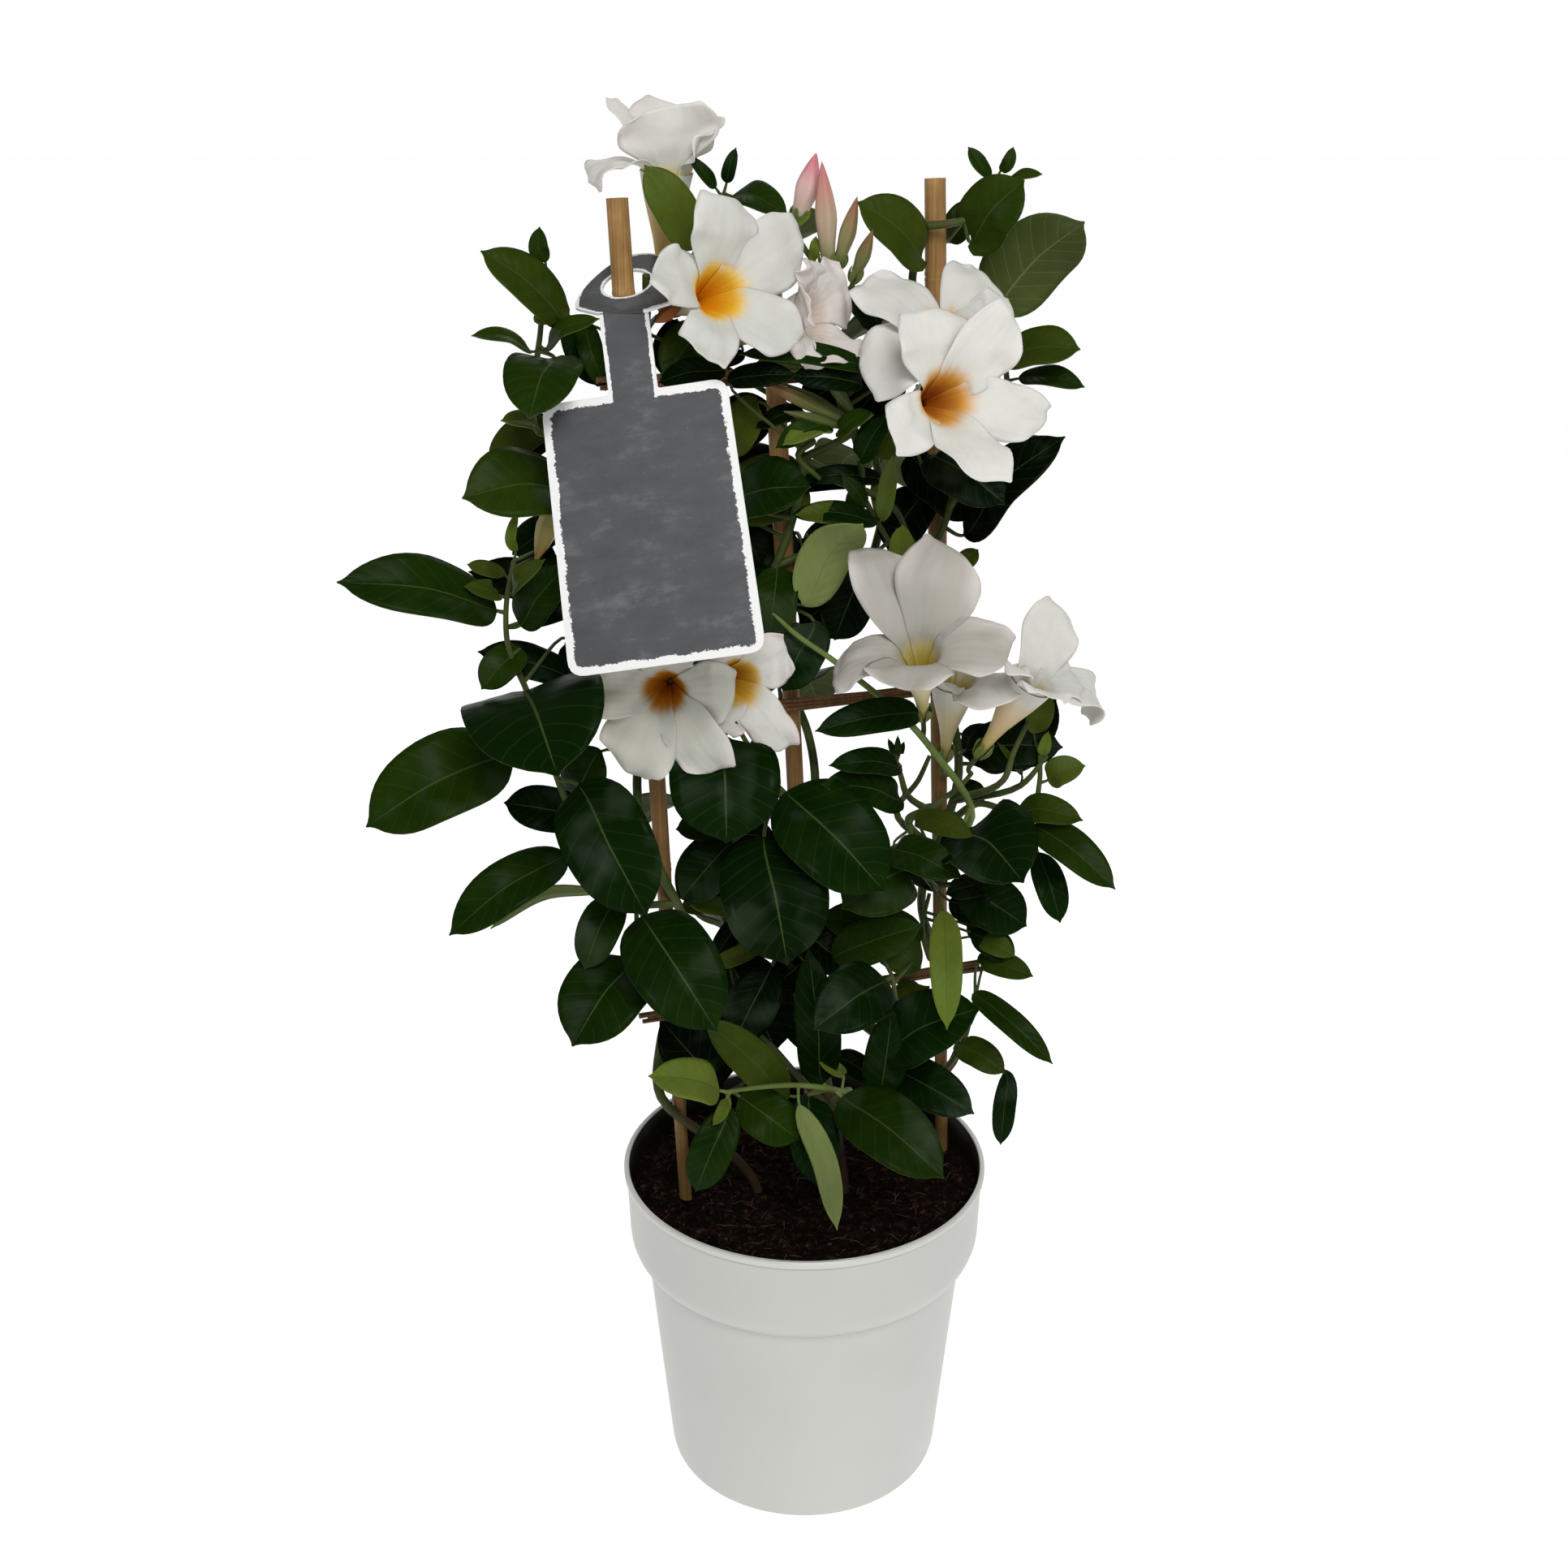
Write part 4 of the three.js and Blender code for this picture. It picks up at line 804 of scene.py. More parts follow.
# mouth, axis and petals: angle, reach, half width, opening and curl; a bloom's own "white" paints light and
# shade into that flower's petals
blooms = {
    "bloom_top": {
        "throat": "olive", "skin": (0.62, 0.44, 0.20), "mouth": [-55, 2, 599], "axis": [0.08, -0.12, 0.99],
        "petals": [[-12, 22, 13, 30, 6], [90, 25, 17, 20, -12], [165, 28, 13, 26, 5],
                   [208, 27, 15, 95, 30], [-85, 27, 19, 20, -20]],
    },
    "bloom_face_left": {
        # the greyer white is painted shade on this flower's petals
        "white": (0.61, 0.61, 0.56), "throat": "amber", "mouth": [-34, -36, 555],
        "axis": [0.49, -0.84, 0.25],
        "petals": [[89, 30, 15, 54, 7], [29, 34, 14, 75, 7], [-39, 28, 11, 77, -1],
                   [-116, 22, 11, 67, 5], [162, 24, 11, 71, 6]],
    },
    "bloom_half_open": {
        "throat": "blush", "white": (0.70, 0.65, 0.61), "mouth": [2, -17, 545], "axis": [0.79, -0.53, 0.31],
        "petals": [[88, 13, 11, 48, 5], [25, 14, 15, 55, 2], [-73, 16, 12, 54, 2],
                   [-125, 13, 9, 98, 19], [165, 12, 9, 30, 0]],
    },
    "bloom_right_front": {
        # the brighter white is painted light on this flower's petals
        "white": (0.74, 0.73, 0.67), "throat": "brown", "mouth": [52, -38, 516], "axis": [0.37, -0.9, 0.24],
        "petals": [[104, 28, 17, 68, 5], [49, 34, 13, 64, 5], [-15, 37, 11, 82, 7],
                   [-86, 40, 12, 43, -4], [-152, 24, 11, 69, 4]],
    },
    "bloom_right_behind": {
        "throat": "brown", "mouth": [54, -17, 538], "axis": [0.14, -0.75, 0.64],
        "petals": [[144, 32, 13, 86, 7], [49, 24, 16, 84, 6], [206, 33, 15, 95, 20],
                   [15, 20, 11, 78, 0], [-75, 10, 8, 40, 0]],
    },
    "bloom_centre": {
        # the grey white is painted shade: this flower is lit from behind
        "throat": "olive", "white": (0.43, 0.41, 0.37), "ringEnd": 0.29, "mouth": [44, -46, 419],
        "axis": [-0.1, -0.57, 0.81],
        "petals": [[121, 42, 14, 67, -4], [76, 38, 17, 56, -8], [-1, 29, 13, 87, 6],
                   [-96, 26, 18, 50, 30], [198, 32, 11, 97, 30]],
    },
    "bloom_centre_behind": {
        "throat": "olive", "ringEnd": 0.3, "mouth": [63, -4, 395], "axis": [0.04, -0.35, 0.94],
        "petals": [[-51, 27, 17, 70, 8], [30, 13, 9, 34, 0], [100, 13, 9, 30, 0],
                   [170, 12, 9, 34, 0], [-115, 13, 9, 44, 0]],
    },
    "bloom_right": {
        "throat": "olive", "skin": (0.66, 0.50, 0.30), "ringEnd": 0.28, "mouth": [94, -20, 399],
        "axis": [0.43, -0.31, 0.85],
        "petals": [[29, 30, 13, 45, -4], [-38, 40, 11, 101, 45], [-34, 22, 11, 86, 21],
                   [-140, 17, 11, 56, 0], [158, 18, 11, 54, 0]],
    },
    "bloom_under_tag": {
        # the grey white is painted shade from the tag above this flower
        "throat": "orange", "white": (0.48, 0.48, 0.42), "ringEnd": 0.33, "mouth": [-58, -41, 399],
        "axis": [-0.05, -1, 0.09],
        "petals": [[-116, 30, 16, 84, 8], [-55, 32, 12, 83, 4], [3, 22, 14, 75, 12],
                   [177, 26, 11, 88, 9], [88, 20, 13, 88, 14]],
    },
    "bloom_beside": {
        "throat": "pink", "mouth": [-29, -25, 398], "axis": [0.36, -0.92, 0.12],
        "petals": [[30, 17, 12, 76, 7], [-57, 28, 9, 78, 8], [108, 13, 9, 60, 0],
                   [180, 8, 7, 50, 0], [-115, 13, 9, 66, 4]],
    },
}

throatTones = {
    # deepest throat, ring round it, and the blush at the petals' edges
    "amber": ((0.76, 0.30, 0.004), (0.85, 0.50, 0.03), (0.80, 0.76, 0.73)),
    "orange": ((0.55, 0.20, 0.006), (0.55, 0.24, 0.012), (0.76, 0.71, 0.66)),
    "brown": ((0.42, 0.12, 0.008), (0.72, 0.34, 0.05), (0.80, 0.76, 0.73)),
    "olive": ((0.42, 0.33, 0.05), (0.72, 0.60, 0.24), (0.78, 0.71, 0.68)),
    "blush": ((0.60, 0.46, 0.36), (0.68, 0.58, 0.50), (0.74, 0.60, 0.58)),
    "pink": ((0.50, 0.22, 0.01), (0.72, 0.42, 0.05), (0.80, 0.64, 0.62)),
}


def bloomMatrix(bloom):
    axis = Vector(bloom["axis"]).normalized()
    mark = Vector((0, 1, 0)) if axis.z > 0.85 else up
    mark = (mark - axis * mark.dot(axis)).normalized()
    right = mark.cross(axis)
    turn = Matrix((right, mark, axis)).transposed().to_4x4()
    return Matrix.Translation(metres(bloom["mouth"])) @ turn


def flatPattern(name, across, along):
    bpy.ops.mesh.primitive_grid_add(x_subdivisions=across, y_subdivisions=along, size=2, calc_uvs=True)
    pattern = bpy.context.object
    pattern.name = name
    return pattern


def petalSpine(petal):
    # the petal's middle line from deep in the throat, over the mouth and out to its end
    reach, (spread, curl) = petal[1], petal[3:]
    near, far = math.radians(spread - flower["bend"]), math.radians(spread + flower["bend"] + curl)
    root, steps = Vector(flower["root"]), flower["spineSteps"]
    knee = root + Vector((math.sin(near), math.cos(near))) * reach * flower["knee"]
    end = knee + Vector((math.sin(far), math.cos(far))) * reach * (1 - flower["knee"])
    path = smoothPath(flower["throat"] + [root, knee, end], steps)
    lengths = [0.0]
    for a, b in zip(path, path[1:]):
        lengths.append(lengths[-1] + (b - a).length)
    return path, lengths, lengths[steps * len(flower["throat"])]


def alongPath(path, lengths, distance):
    for i in range(1, len(lengths)):
        if distance <= lengths[i] or i == len(lengths) - 1:
            share = (distance - lengths[i - 1]) / (lengths[i] - lengths[i - 1])
            heading = (path[i] - path[i - 1]).normalized()
            return path[i - 1].lerp(path[i], share), heading


def petalPoint(petal, spine, across, along, manner):
    # across is -1..1 with the pointed corner near +1; along is 0 deep in the throat and 1 at the end
    angle, halfWidth = petal[0], petal[2]
    path, lengths, throatLength = spine
    share = flower["throatShare"]
    blade = max(0.0, (along - share) / (1 - share))
    if along < share:
        distance = throatLength * along / share
    else:
        distance = throatLength + (lengths[-1] - throatLength) * blade * curveThrough(flower["end"], across)
    spot, heading = alongPath(path, lengths, distance)
    edge = flower["leftEdge"] if across > 0 else flower["rightEdge"]
    side = across * curveThrough(edge, blade) * halfWidth
    flat = ease(0.0, 0.5, blade)
    turn = across * flower["wrap"]
    out = spot.x - flower["overlap"] * across
    wrapped = Vector((out * math.cos(turn), out * math.sin(turn), spot.y))
    level = Vector((spot.x, side, spot.y + flower["tilt"] * side))
    point = wrapped.lerp(level, flat)
    seed, ruffle = manner["seed"], flower["ruffle"] * flat
    ripple = ruffle * abs(across) ** 1.6 * (
        math.sin(manner["waves"] * blade + seed) + 0.6 * noise.noise(Vector((across * 2, blade * 5, seed))))
    swell = ruffle * noise.noise(Vector((across * 1.3 + seed, blade * 2.2, 3.0)))
    tipCurl = manner["tip"] * ease(flower["tipFrom"], 1.0, blade) ** 2 * (0.4 + 0.6 * abs(across))
    crease = flower["crease"] * flat * math.exp(-(across / flower["creaseWidth"]) ** 2)
    crease *= 1 - ease(flower["creaseEnd"], 1, blade)
    lift = ripple + swell + crease + tipCurl + manner["cup"] * flat * across * across
    point += Vector((-heading.y, 0, heading.x)) * lift
    return Matrix.Rotation(math.radians(angle), 3, "Z") @ point


def petalPaint(bloom, along, across, seed):
    # the throat's colour runs out over the petal in uneven streaks
    deep, ring, blush = (Vector(tone) for tone in throatTones[bloom["throat"]])
    # a bloom's own white carries painted light and shade for that flower
    white, ringEnd = Vector(bloom.get("white", flower["white"])), bloom.get("ringEnd", flower["ringEnd"])
    streak = 0.035 * noise.noise(Vector((across * 9, seed, 0))) + 0.02 * math.cos(across * 3)
    colour = deep.lerp(ring, ease(0.10, 0.27, along - streak))
    colour = colour.lerp(white, ease(0.6 * ringEnd, ringEnd, along - streak))
    return colour.lerp(blush, flower["blush"] * ease(0.45, 1.0, abs(across)) * ease(0.45, 0.9, along))


def paintPoints(piece, colours):
    layer = piece.data.color_attributes.new("paint", "FLOAT_COLOR", "POINT")
    for spot, colour in zip(layer.data, colours):
        spot.color = (*colour, 1)


def makeTubePattern():
    foot = [(radius, rise - flower["tubeLength"]) for radius, rise in flower["funnelFoot"]]
    pattern = turnedShape("tubePattern", foot + flower["funnel"], flower["tubeSteps"])
    smoothShade(pattern, 60)
    return pattern


def makeTube(bloom, pattern):
    piece = copyMesh(pattern, "tube")
    deep, skin, foot, white = (Vector(tone) for tone in (
        throatTones[bloom["throat"]][0], bloom.get("skin", flower["skin"]), flower["foot"], flower["white"]))
    colours = []
    for vertex in piece.data.vertices:
        height, radius = vertex.co.z * 1000, math.hypot(vertex.co.x, vertex.co.y) * 1000
        colour = foot.lerp(skin, ease(-flower["tubeLength"], flower["skinEnd"], height))
        colour = colour.lerp(white, ease(*flower["whiteFrom"], height))
        depth = height + flower["funnelDepth"]
        if depth > 0 and radius < flower["funnelSlope"] * depth:  # inside the funnel
            colour = deep
        colours.append(colour)
    paintPoints(piece, colours)
    return piece


def makeBloom(name, bloom, pattern, tube):
    petals = []
    for petal in bloom["petals"]:
        piece = copyMesh(pattern, "petal")
        manner = {"seed": random.uniform(0, 6), "waves": random.uniform(6, 10),
                  "tip": random.uniform(-3.5, 1.0), "cup": random.uniform(-2.0, 1.2)}
        spine = petalSpine(petal)
        colours = []
        for vertex in piece.data.vertices:
            across, along = vertex.co.x, (vertex.co.y + 1) / 2
            colours.append(petalPaint(bloom, along, across, manner["seed"]))
            vertex.co = petalPoint(petal, spine, across, along, manner) * 0.001
        paintPoints(piece, colours)
        petals.append(piece)
    petals = joinAs("petals", petals)
    bpy.ops.object.shade_smooth()
    applyModifier(petals, "SOLIDIFY", thickness=0.001 * flower["thickness"], offset=0, use_rim=True)
    piece = joinAs(name, [petals, makeTube(bloom, tube)])
    piece.data.transform(bloomMatrix(bloom))
    coverWith(piece, petalMaterial)
    finishPiece(piece, "petal", name)


petalPattern = flatPattern("petalPattern", flower["across"], flower["along"])
tubePattern = makeTubePattern()
for name, bloom in blooms.items():
    makeBloom(name, bloom, petalPattern, tubePattern)
bpy.data.objects.remove(petalPattern)
bpy.data.objects.remove(tubePattern)
print("flowers ready")


# tones at the foot, half way and at the tip
buds = {
    "bud_top_left": {"foot": (-4, 8, 579), "tip": (3, 6, 604), "radius": 4.6,
                     "tones": ((0.56, 0.50, 0.38), (0.72, 0.50, 0.46), (0.60, 0.14, 0.20))},
    "bud_top_middle": {"foot": (8, 4, 562), "tip": (5, 0, 601), "radius": 4.2,
                       "tones": ((0.26, 0.30, 0.12), (0.50, 0.38, 0.27), (0.58, 0.16, 0.18))},
    "bud_top_right": {"foot": (12, 5, 562), "tip": (19, 2, 588), "radius": 3.2,
                      "tones": ((0.17, 0.21, 0.06), (0.26, 0.23, 0.10), (0.30, 0.10, 0.06))},
    "bud_top_low": {"foot": (18, 0, 557), "tip": (25, -5, 576), "radius": 2.8,
                    "tones": ((0.10, 0.14, 0.03), (0.15, 0.15, 0.05), (0.20, 0.10, 0.04))},
    "bud_left_low": {"foot": (-99, -23, 476), "tip": (-109, -30, 450), "radius": 4.4,
                     "tones": ((0.50, 0.45, 0.24), (0.42, 0.38, 0.13), (0.26, 0.13, 0.03))},
}


budShape = {
    "segments": 25, "rings": 22, "lobes": 5, "lobeDepth": 0.10, "lobeTurn": 7, "twist": 1.4,
    "girth": [(0, 0.0), (0.02, 0.5), (0.25, 0.82), (0.48, 1.0), (0.7, 0.74), (0.85, 0.42), (0.95, 0.17),
              (1, 0.0)],
}


def makeBud(name, bud):
    bpy.ops.mesh.primitive_uv_sphere_add(
        segments=budShape["segments"], ring_count=budShape["rings"], radius=1)
    piece = bpy.context.object
    foot, tip = Vector(bud["foot"]), Vector(bud["tip"])
    base, body, end = (Vector(tone) for tone in bud["tones"])
    colours = []
    for vertex in piece.data.vertices:
        share = (vertex.co.z + 1) / 2
        angle = math.atan2(vertex.co.y, vertex.co.x)
        fold = math.cos(budShape["lobes"] * angle + budShape["lobeTurn"] * share)
        lobes = 1 + budShape["lobeDepth"] * fold * ease(0.1, 0.5, share)
        away = math.hypot(vertex.co.x, vertex.co.y) > 0.001
        radius = bud["radius"] * curveThrough(budShape["girth"], share) * lobes if away else 0
        twist = angle + budShape["twist"] * share
        vertex.co = metres((radius * math.cos(twist), radius * math.sin(twist), (tip - foot).length * share))
        red = ease(0.4, 0.95, share) * (0.65 + 0.35 * (0.5 + 0.5 * fold))
        colours.append(base.lerp(body, ease(0.05, 0.35, share)).lerp(end, red))
    paintPoints(piece, colours)
    bpy.ops.object.shade_smooth()
    turn = up.rotation_difference(tip - foot).to_matrix().to_4x4()
    piece.data.transform(Matrix.Translation(metres(foot)) @ turn)
    piece = joinAs(name, [piece])
    coverWith(piece, budMaterial)
    return piece


greenTones = ((0.035, 0.06, 0.012), (0.075, 0.10, 0.022), (0.10, 0.10, 0.03))
redTipTones = ((0.05, 0.08, 0.018), (0.13, 0.14, 0.04), (0.34, 0.09, 0.05))
redTones = ((0.10, 0.13, 0.03), (0.36, 0.11, 0.03), (0.42, 0.16, 0.04))
youngBuds = [
    {"foot": (16, -9, 502), "tip": (-23, -18, 522), "radius": 2.6, "tones": redTipTones},
    {"foot": (16, -6, 504), "tip": (-11, -14, 519), "radius": 2, "tones": greenTones},
    {"foot": (18, -8, 506), "tip": (5, -13, 524), "radius": 2.5, "tones": greenTones},
    {"foot": (14, -11, 501), "tip": (-10, -17, 508), "radius": 2.2, "tones": greenTones},
    {"foot": (-50, -19, 549), "tip": (-59, -27, 543), "radius": 2.9, "tones": redTones},
]


for name, bud in buds.items():
    finishPiece(makeBud(name + "Fine", bud), "bud", name)
finishPiece(joinAs("youngBuds", [makeBud("youngBud", bud) for bud in youngBuds]), "bud")
print("buds ready")


vine = {
    "stemRadius": 2.2, "shootRadius": 1.6, "pedicelRadius": 1.1, "petioleRadius": 0.95,
    "windingGap": 3.0, "pitch": 138.0, "fold": 0.3, "arch": 0.14, "shortestPetiole": 4.0,
    "bladeThickness": 0.5, "across": 10, "along": 20, "steps": 24, "lowestLeaf": 164.5,
    "turnPoints": 6, "stemSteps": 6,
    "outline": [(0, 0.05), (0.03, 0.27), (0.08, 0.52), (0.17, 0.78), (0.29, 0.95), (0.43, 1.0),
                (0.57, 0.98), (0.7, 0.89), (0.8, 0.73), (0.88, 0.51), (0.93, 0.30), (0.955, 0.15),
                (0.975, 0.07), (1, 0.012)],
    "fullness": 1.08, "crown": 0.45, "lean": 0.4, "waveAcross": 0.035, "waveEdge": 0.02,
    "tintAndShade": 0.22, "tintSpread": 0.16, "smallLeaf": 20, "smallTint": 0.03, "highLeaf": 480, "youthAndBacklight": 0.16,
    "sepals": 5, "sepalTint": 0.72, "sepalWidth": 0.62,
    "bloomFoot": (2.9, 9, 9), "budFoot": (0.6, 6, 4),  # sepals' radius and length, and the stalk's bow
}


def windRound(side, low, high, hand):
    # a stem winding round a cane, behind it at every bar
    points = []
    count = round(vine["turnPoints"] * (high - low) / vine["pitch"])
    for i in range(count + 1):
        height = mix(low, high, i / count)
        angle = math.pi / 2 + hand * 2 * math.pi * (height - rack["bars"]["low"]["height"]) / vine["pitch"]
        radius = caneRadiusAt(side, height) + vine["stemRadius"] + vine["windingGap"]
        away = Vector((radius * math.cos(angle), radius * math.sin(angle), 0))
        points.append(canePoint(side, height) + away)
    return points


# a leaf is the start of its blade, its tip, its width, the slant of its face in degrees and its tone; the
# tone is the leaf's own green with painted shade, low tones standing for leaves deep in the foliage
vines = {
    "vine_left": {
        "main": [[-20, -10, 108], [-22, -11, soil["top"]], [-34, -20, 170], *windRound("left", 200, 560, -1)],
        "shoots": [
            [[-66, -22, 281], [-76, -25, 299], [-85, -28, 312], [-100, -34, 348], [-104, -36, 362],
             [-114, -38, 399], [-120, -40, 417], [-120, -40, 435], [-116, -40, 453]],
            [[-76, -14, 486], [-88, -12, 495], [-101, -15, 508], [-106, -18, 525], [-104, -20, 539],
             [-101, -20, 561]],
            [[-63, -14, 550], [-54, -7, 552], [-47, -4, 558], [-44, -2, 568], [-37, 0, 582],
             [-33, 0, 589]],
        ],
        "leaves": [
            # shoot on the upper left, up beside the tag
            (-96, -22, 543, -123, -34, 570, 19, 45, 0.52), (-107, -25, 532, -127, -42, 540, 7, 40, 0.5),
            (-102, -24, 533, -79, -40, 546, 8, 50, 0.5), (-98, -28, 530, -104, -62, 512, 26, 50, 0.42),
            (-89, -18, 543, -79, -26, 517, 9, 60, 0.42), (-89, 2, 539, -85, 8, 515, 9, 60),
            (-104, -22, 501, -118, -40, 508, 9, 50), (-104, -10, 503, -127, -20, 486, 15, 55),
            (-95, -24, 478, -133, -50, 480, 29, 50, 0.48),
            # shoot that leans out on the left below the tag
            (-119, -40, 437, -102, -54, 457, 8, 50, 0.58),
            (-119, -40, 437, -134, -52, 446, 8, 50, 0.56),
            (-123, -42, 431, -178.8, -70, 452, 25, 46, 0.38), (-116, -34, 425, -95, -38, 451, 16, 60),
            (-116, -36, 416, -131, -46, 402, 14, 60), (-114, -42, 400, -94, -104, 386, 51, 36, 0.26),
            (-121, -38, 372, -178, -62, 349, 33, 50, 0.42),
            (-96, -26, 339, -127, -32, 348, 18, 60, 0.14),
            (-101, -33, 325, -149, -56, 298, 21, 45, 0.36),
            (-90, -22, 303, -136, -32, 290, 13, -50, 0.56),
            (-94, -44, 360, -65, -72, 314, 34, 60, 0.24), (-86, -24, 368, -100, -14, 341, 18, 60),
            (-81, -40, 309, -93, -58, 283, 17, 55, 0.36),
            # main stem, mostly low in front of the left cane
            (-74, -42, 281, -97, -78, 258, 33, 50, 0.34), (-69, -48, 303, -37, -82, 267, 34, 55, 0.32),
            # shoot that carries the topmost flower
            (-44, -14, 570, -62, -20, 600, 16, 60, 0.7), (-34, 0, 589, -8, -16, 582, 14, 45, 0.42),
            (-40, -6, 540, -56, -26, 521, 17, 60),
            # smaller and half hidden ones between these, many with low tones as painted shade
            (-101, -6, 460, -121, -12, 449, 14, 55, 0.2),
            (-105, -10, 452, -119, -14, 434, 12, 55, 0.22), (-100, 0, 426, -140, -8, 441, 17, 50, 0.05),
            (-99, -12, 395, -135, -26, 412, 15, 50, 0.12), (-94, -14, 429, -118, -24, 423, 13, 50, 0.2),
            (-101, -2, 411, -88, -6, 385, 17, 55, 0.03), (-109, -16, 448, -94, -20, 432, 13, 55, 0.3),
            (-103, -20, 563, -102, -24, 578, 7, 60, 0.45), (-94, -8, 543, -83, -14, 517, 14, 60, 0.3),
            (-99, -8, 502, -127, -16, 483, 17, 55, 0.08), (-45, -4, 541, -57, -8, 519, 18, 55, 0.05),
            (-26, 2, 529, -51, 0, 519, 10, 50, 0.05), (-118, -40, 453, -113, -44, 474, 4, 60),
            (-124, -14, 441, -139, -16, 446, 6, 60), (-35, 0, 588, -46, -4, 603, 5, 55, 0.34),
            (-33, 0, 589, -28, 0, 606, 5, 60, 0.3), (-105, -20, 539, -104, -20, 548, 3, 60),
            (-33, -30, 526, -58, -31, 521, 10, 60, 0.12),
        ],
        "blooms": ["bloom_top", "bloom_face_left"],
        "buds": ["bud_left_low"],
    },
    "vine_middle": {
        "main": [[18, -12, 108], [19, -12, soil["top"]], [15, -8, 175], *windRound("middle", 200, 505, 1)],
        "shoots": [
            [[14, -6, 190], [20, -18, 202], [16, -34, 211], [8, -48, 221], [-6, -56, 227],
             [-22, -60, 228], [-34, -60, 226]],
            [[15, -7, 178], [26, -14, 196], [37, -20, 212], [41, -22, 238], [38, -26, 264]],
            [[0, -4, 318], [-10, -12, 342], [-22, -24, 366], [-30, -30, 383]],
            [[-2, -4, 440], [10, 2, 452], [22, 3, 470], [20, -2, 492], [14, -5, 507], [9, -5, 522],
             [10, 3, 540], [7, 8, 556]],
            [[12, 4, 487], [19, 0, 475], [28, -2, 462], [34, 0, 452]],
            [[27, 2, 478], [34, -2, 468], [42, 2, 455]],
            [[22, 0, 493], [2, -6, 494], [-4, -8, 489], [5, -6, 479]],
            [[23, -2, 492], [19, -6, 499], [16, -8, 503]],
            [[11, -8, 186], [-3, -12, 206], [-16, -14, 224], [-28, -15, 236]],
        ],
        "leaves": [
            # shoot with the cluster of buds
            (-2, -8, 524, -23, -4, 523, 8, 40),
            # main stem
            (10, -6, 500, -10, -24, 496, 9, 45), (22, 4, 500, 35, -8, 487, 13, 60),
            (-20, -4, 510, -32, 4, 487, 15, 60), (-30, -6, 469, 1, -22, 479, 25, 50),
            (24, -4, 460, -5, -18, 467, 10, 50), (-2, -12, 428, 22, -26, 465, 21, -50, 0.8),
            (-11, -8, 446, -16, -12, 412, 18, 60), (0, 8, 453, 17, 6, 427, 18, 60, 0.08),
            (3, -9, 420, -10, -14, 391, 20, 60), (25, 6, 441, 12, 8, 407, 20, 60, 0.08),
            # centre shoot, between the flowers and the low bar
            (-34, -30, 377, -33, -55, 339, 42, 55, 0.26), (-18, -36, 334, -8, -64, 288, 41, 55, 0.16),
            (-9, -28, 351, 32, -54, 317, 37, 55, 0.3), (-32, -20, 325, -54, -26, 301, 21, 60),
            (-31, -16, 291, -50, -26, 298, 8, 50),
            # low shoots inside the rack
            (12, -6, 263, 51, -18, 285, 19, 55, 0.44), (37, -28, 265, 3, -58, 255, 27, 50, 0.22),
            (34, -24, 206, 38, -30, 251, 18, 60), (-15, -18, 265, -32, -24, 230, 21, 60, 0.08),
            (-37, -14, 234, -62, -22, 207, 23, 60), (39, -26, 229, 74, -52, 262, 28, 45, 0.3),
            (42, 0, 246, 55, -10, 237, 13, 60), (40, -12, 209, 75, -38, 202, 20, 50, 0.26),
            # shoot that hangs forward over the soil
            (16, -44, 214, 58, -83, 198, 28, 45, 0.38), (-34, -60, 226, -66, -76, 243, 18, 42, 0.84),
            (-33, -58, 217, -48, -66, 180, 17, 60, 0.34), (-29, -50, 218, -3, -58, 201, 20, 55, 0.42),
            (-7, -38, 211, -44, -46, 254, 17, 55, 0.58), (8, -34, 215, 1, -38, 283, 18, 60, 0.14),
            (-3, -62, 221, 13, -90, 177, 11, -66, 0.72), (2, -40, 213, 6, -58, 177, 20, 60, 0.2),
            # smaller and half hidden ones between these, many with low tones as painted shade
            (21, 16, 474, -7, 12, 472, 10, 50, 0.08), (-12, 24, 484, -30, 20, 473, 17, 50, 0),
            (3, 2, 259, -15, -2, 246, 17, 50, 0.04), (-29, 4, 277, -41, 0, 260, 10, 55, 0),
            (23, -16, 524, -27, -24, 531, 9, 55, 0.34), (-35, 20, 489, -14, 14, 506, 22, 55, 0),
            (9, -12, 503, -13, -20, 494, 9, 55, 0.42), (12, -14, 499, 25, -20, 508, 8, 50, 0.45),
            (21, -8, 487, 32, -12, 506, 10, 55, 0.3), (-2, -4, 506, -21, -8, 500, 8, 50, 0.1),
            (30, 4, 477, -2, 0, 478, 8, 55, 0.12), (24, -6, 468, 14, -8, 481, 6, 60, 0.35),
            (28, -8, 462, -7, -14, 466, 10, 50, 0.25), (30, -10, 463, 34, -14, 490, 7, 65, 0.72),
            (38, -6, 445, 39, -10, 461, 9, 60, 0.78), (1, 14, 473, -36, 6, 464, 28, 55, 0.6),
            (-5, 16, 452, -25, 10, 421, 27, 60, 0.15), (24, 28, 424, -3, 20, 411, 31, 55, 0),
            (22, 18, 515, -3, 12, 506, 21, 55, 0.02), (20, 24, 453, 2, 20, 436, 22, 55, 0.02),
            (-21, 8, 316, -58, 2, 289, 27, 55, 0.04), (-34, 14, 319, -58, 10, 319, 14, 50, 0.4),
            (-37, 10, 316, -13, 6, 316, 15, 50, 0.08), (-31, 14, 285, -57, 10, 280, 12, 50, 0.5),
            (52, 4, 266, 6, 0, 281, 20, 50, 0.42), (29, -4, 275, 52, -8, 258, 18, 50, 0.5),
            (-3, 0, 273, 20, -4, 257, 20, 50, 0), (-34, -2, 258, -13, -8, 217, 33, 55, 0.02),
            (-37, -18, 201, -65, -22, 241, 25, 55, 0), (41, 8, 220, 57, 4, 244, 20, 50, 0.5),
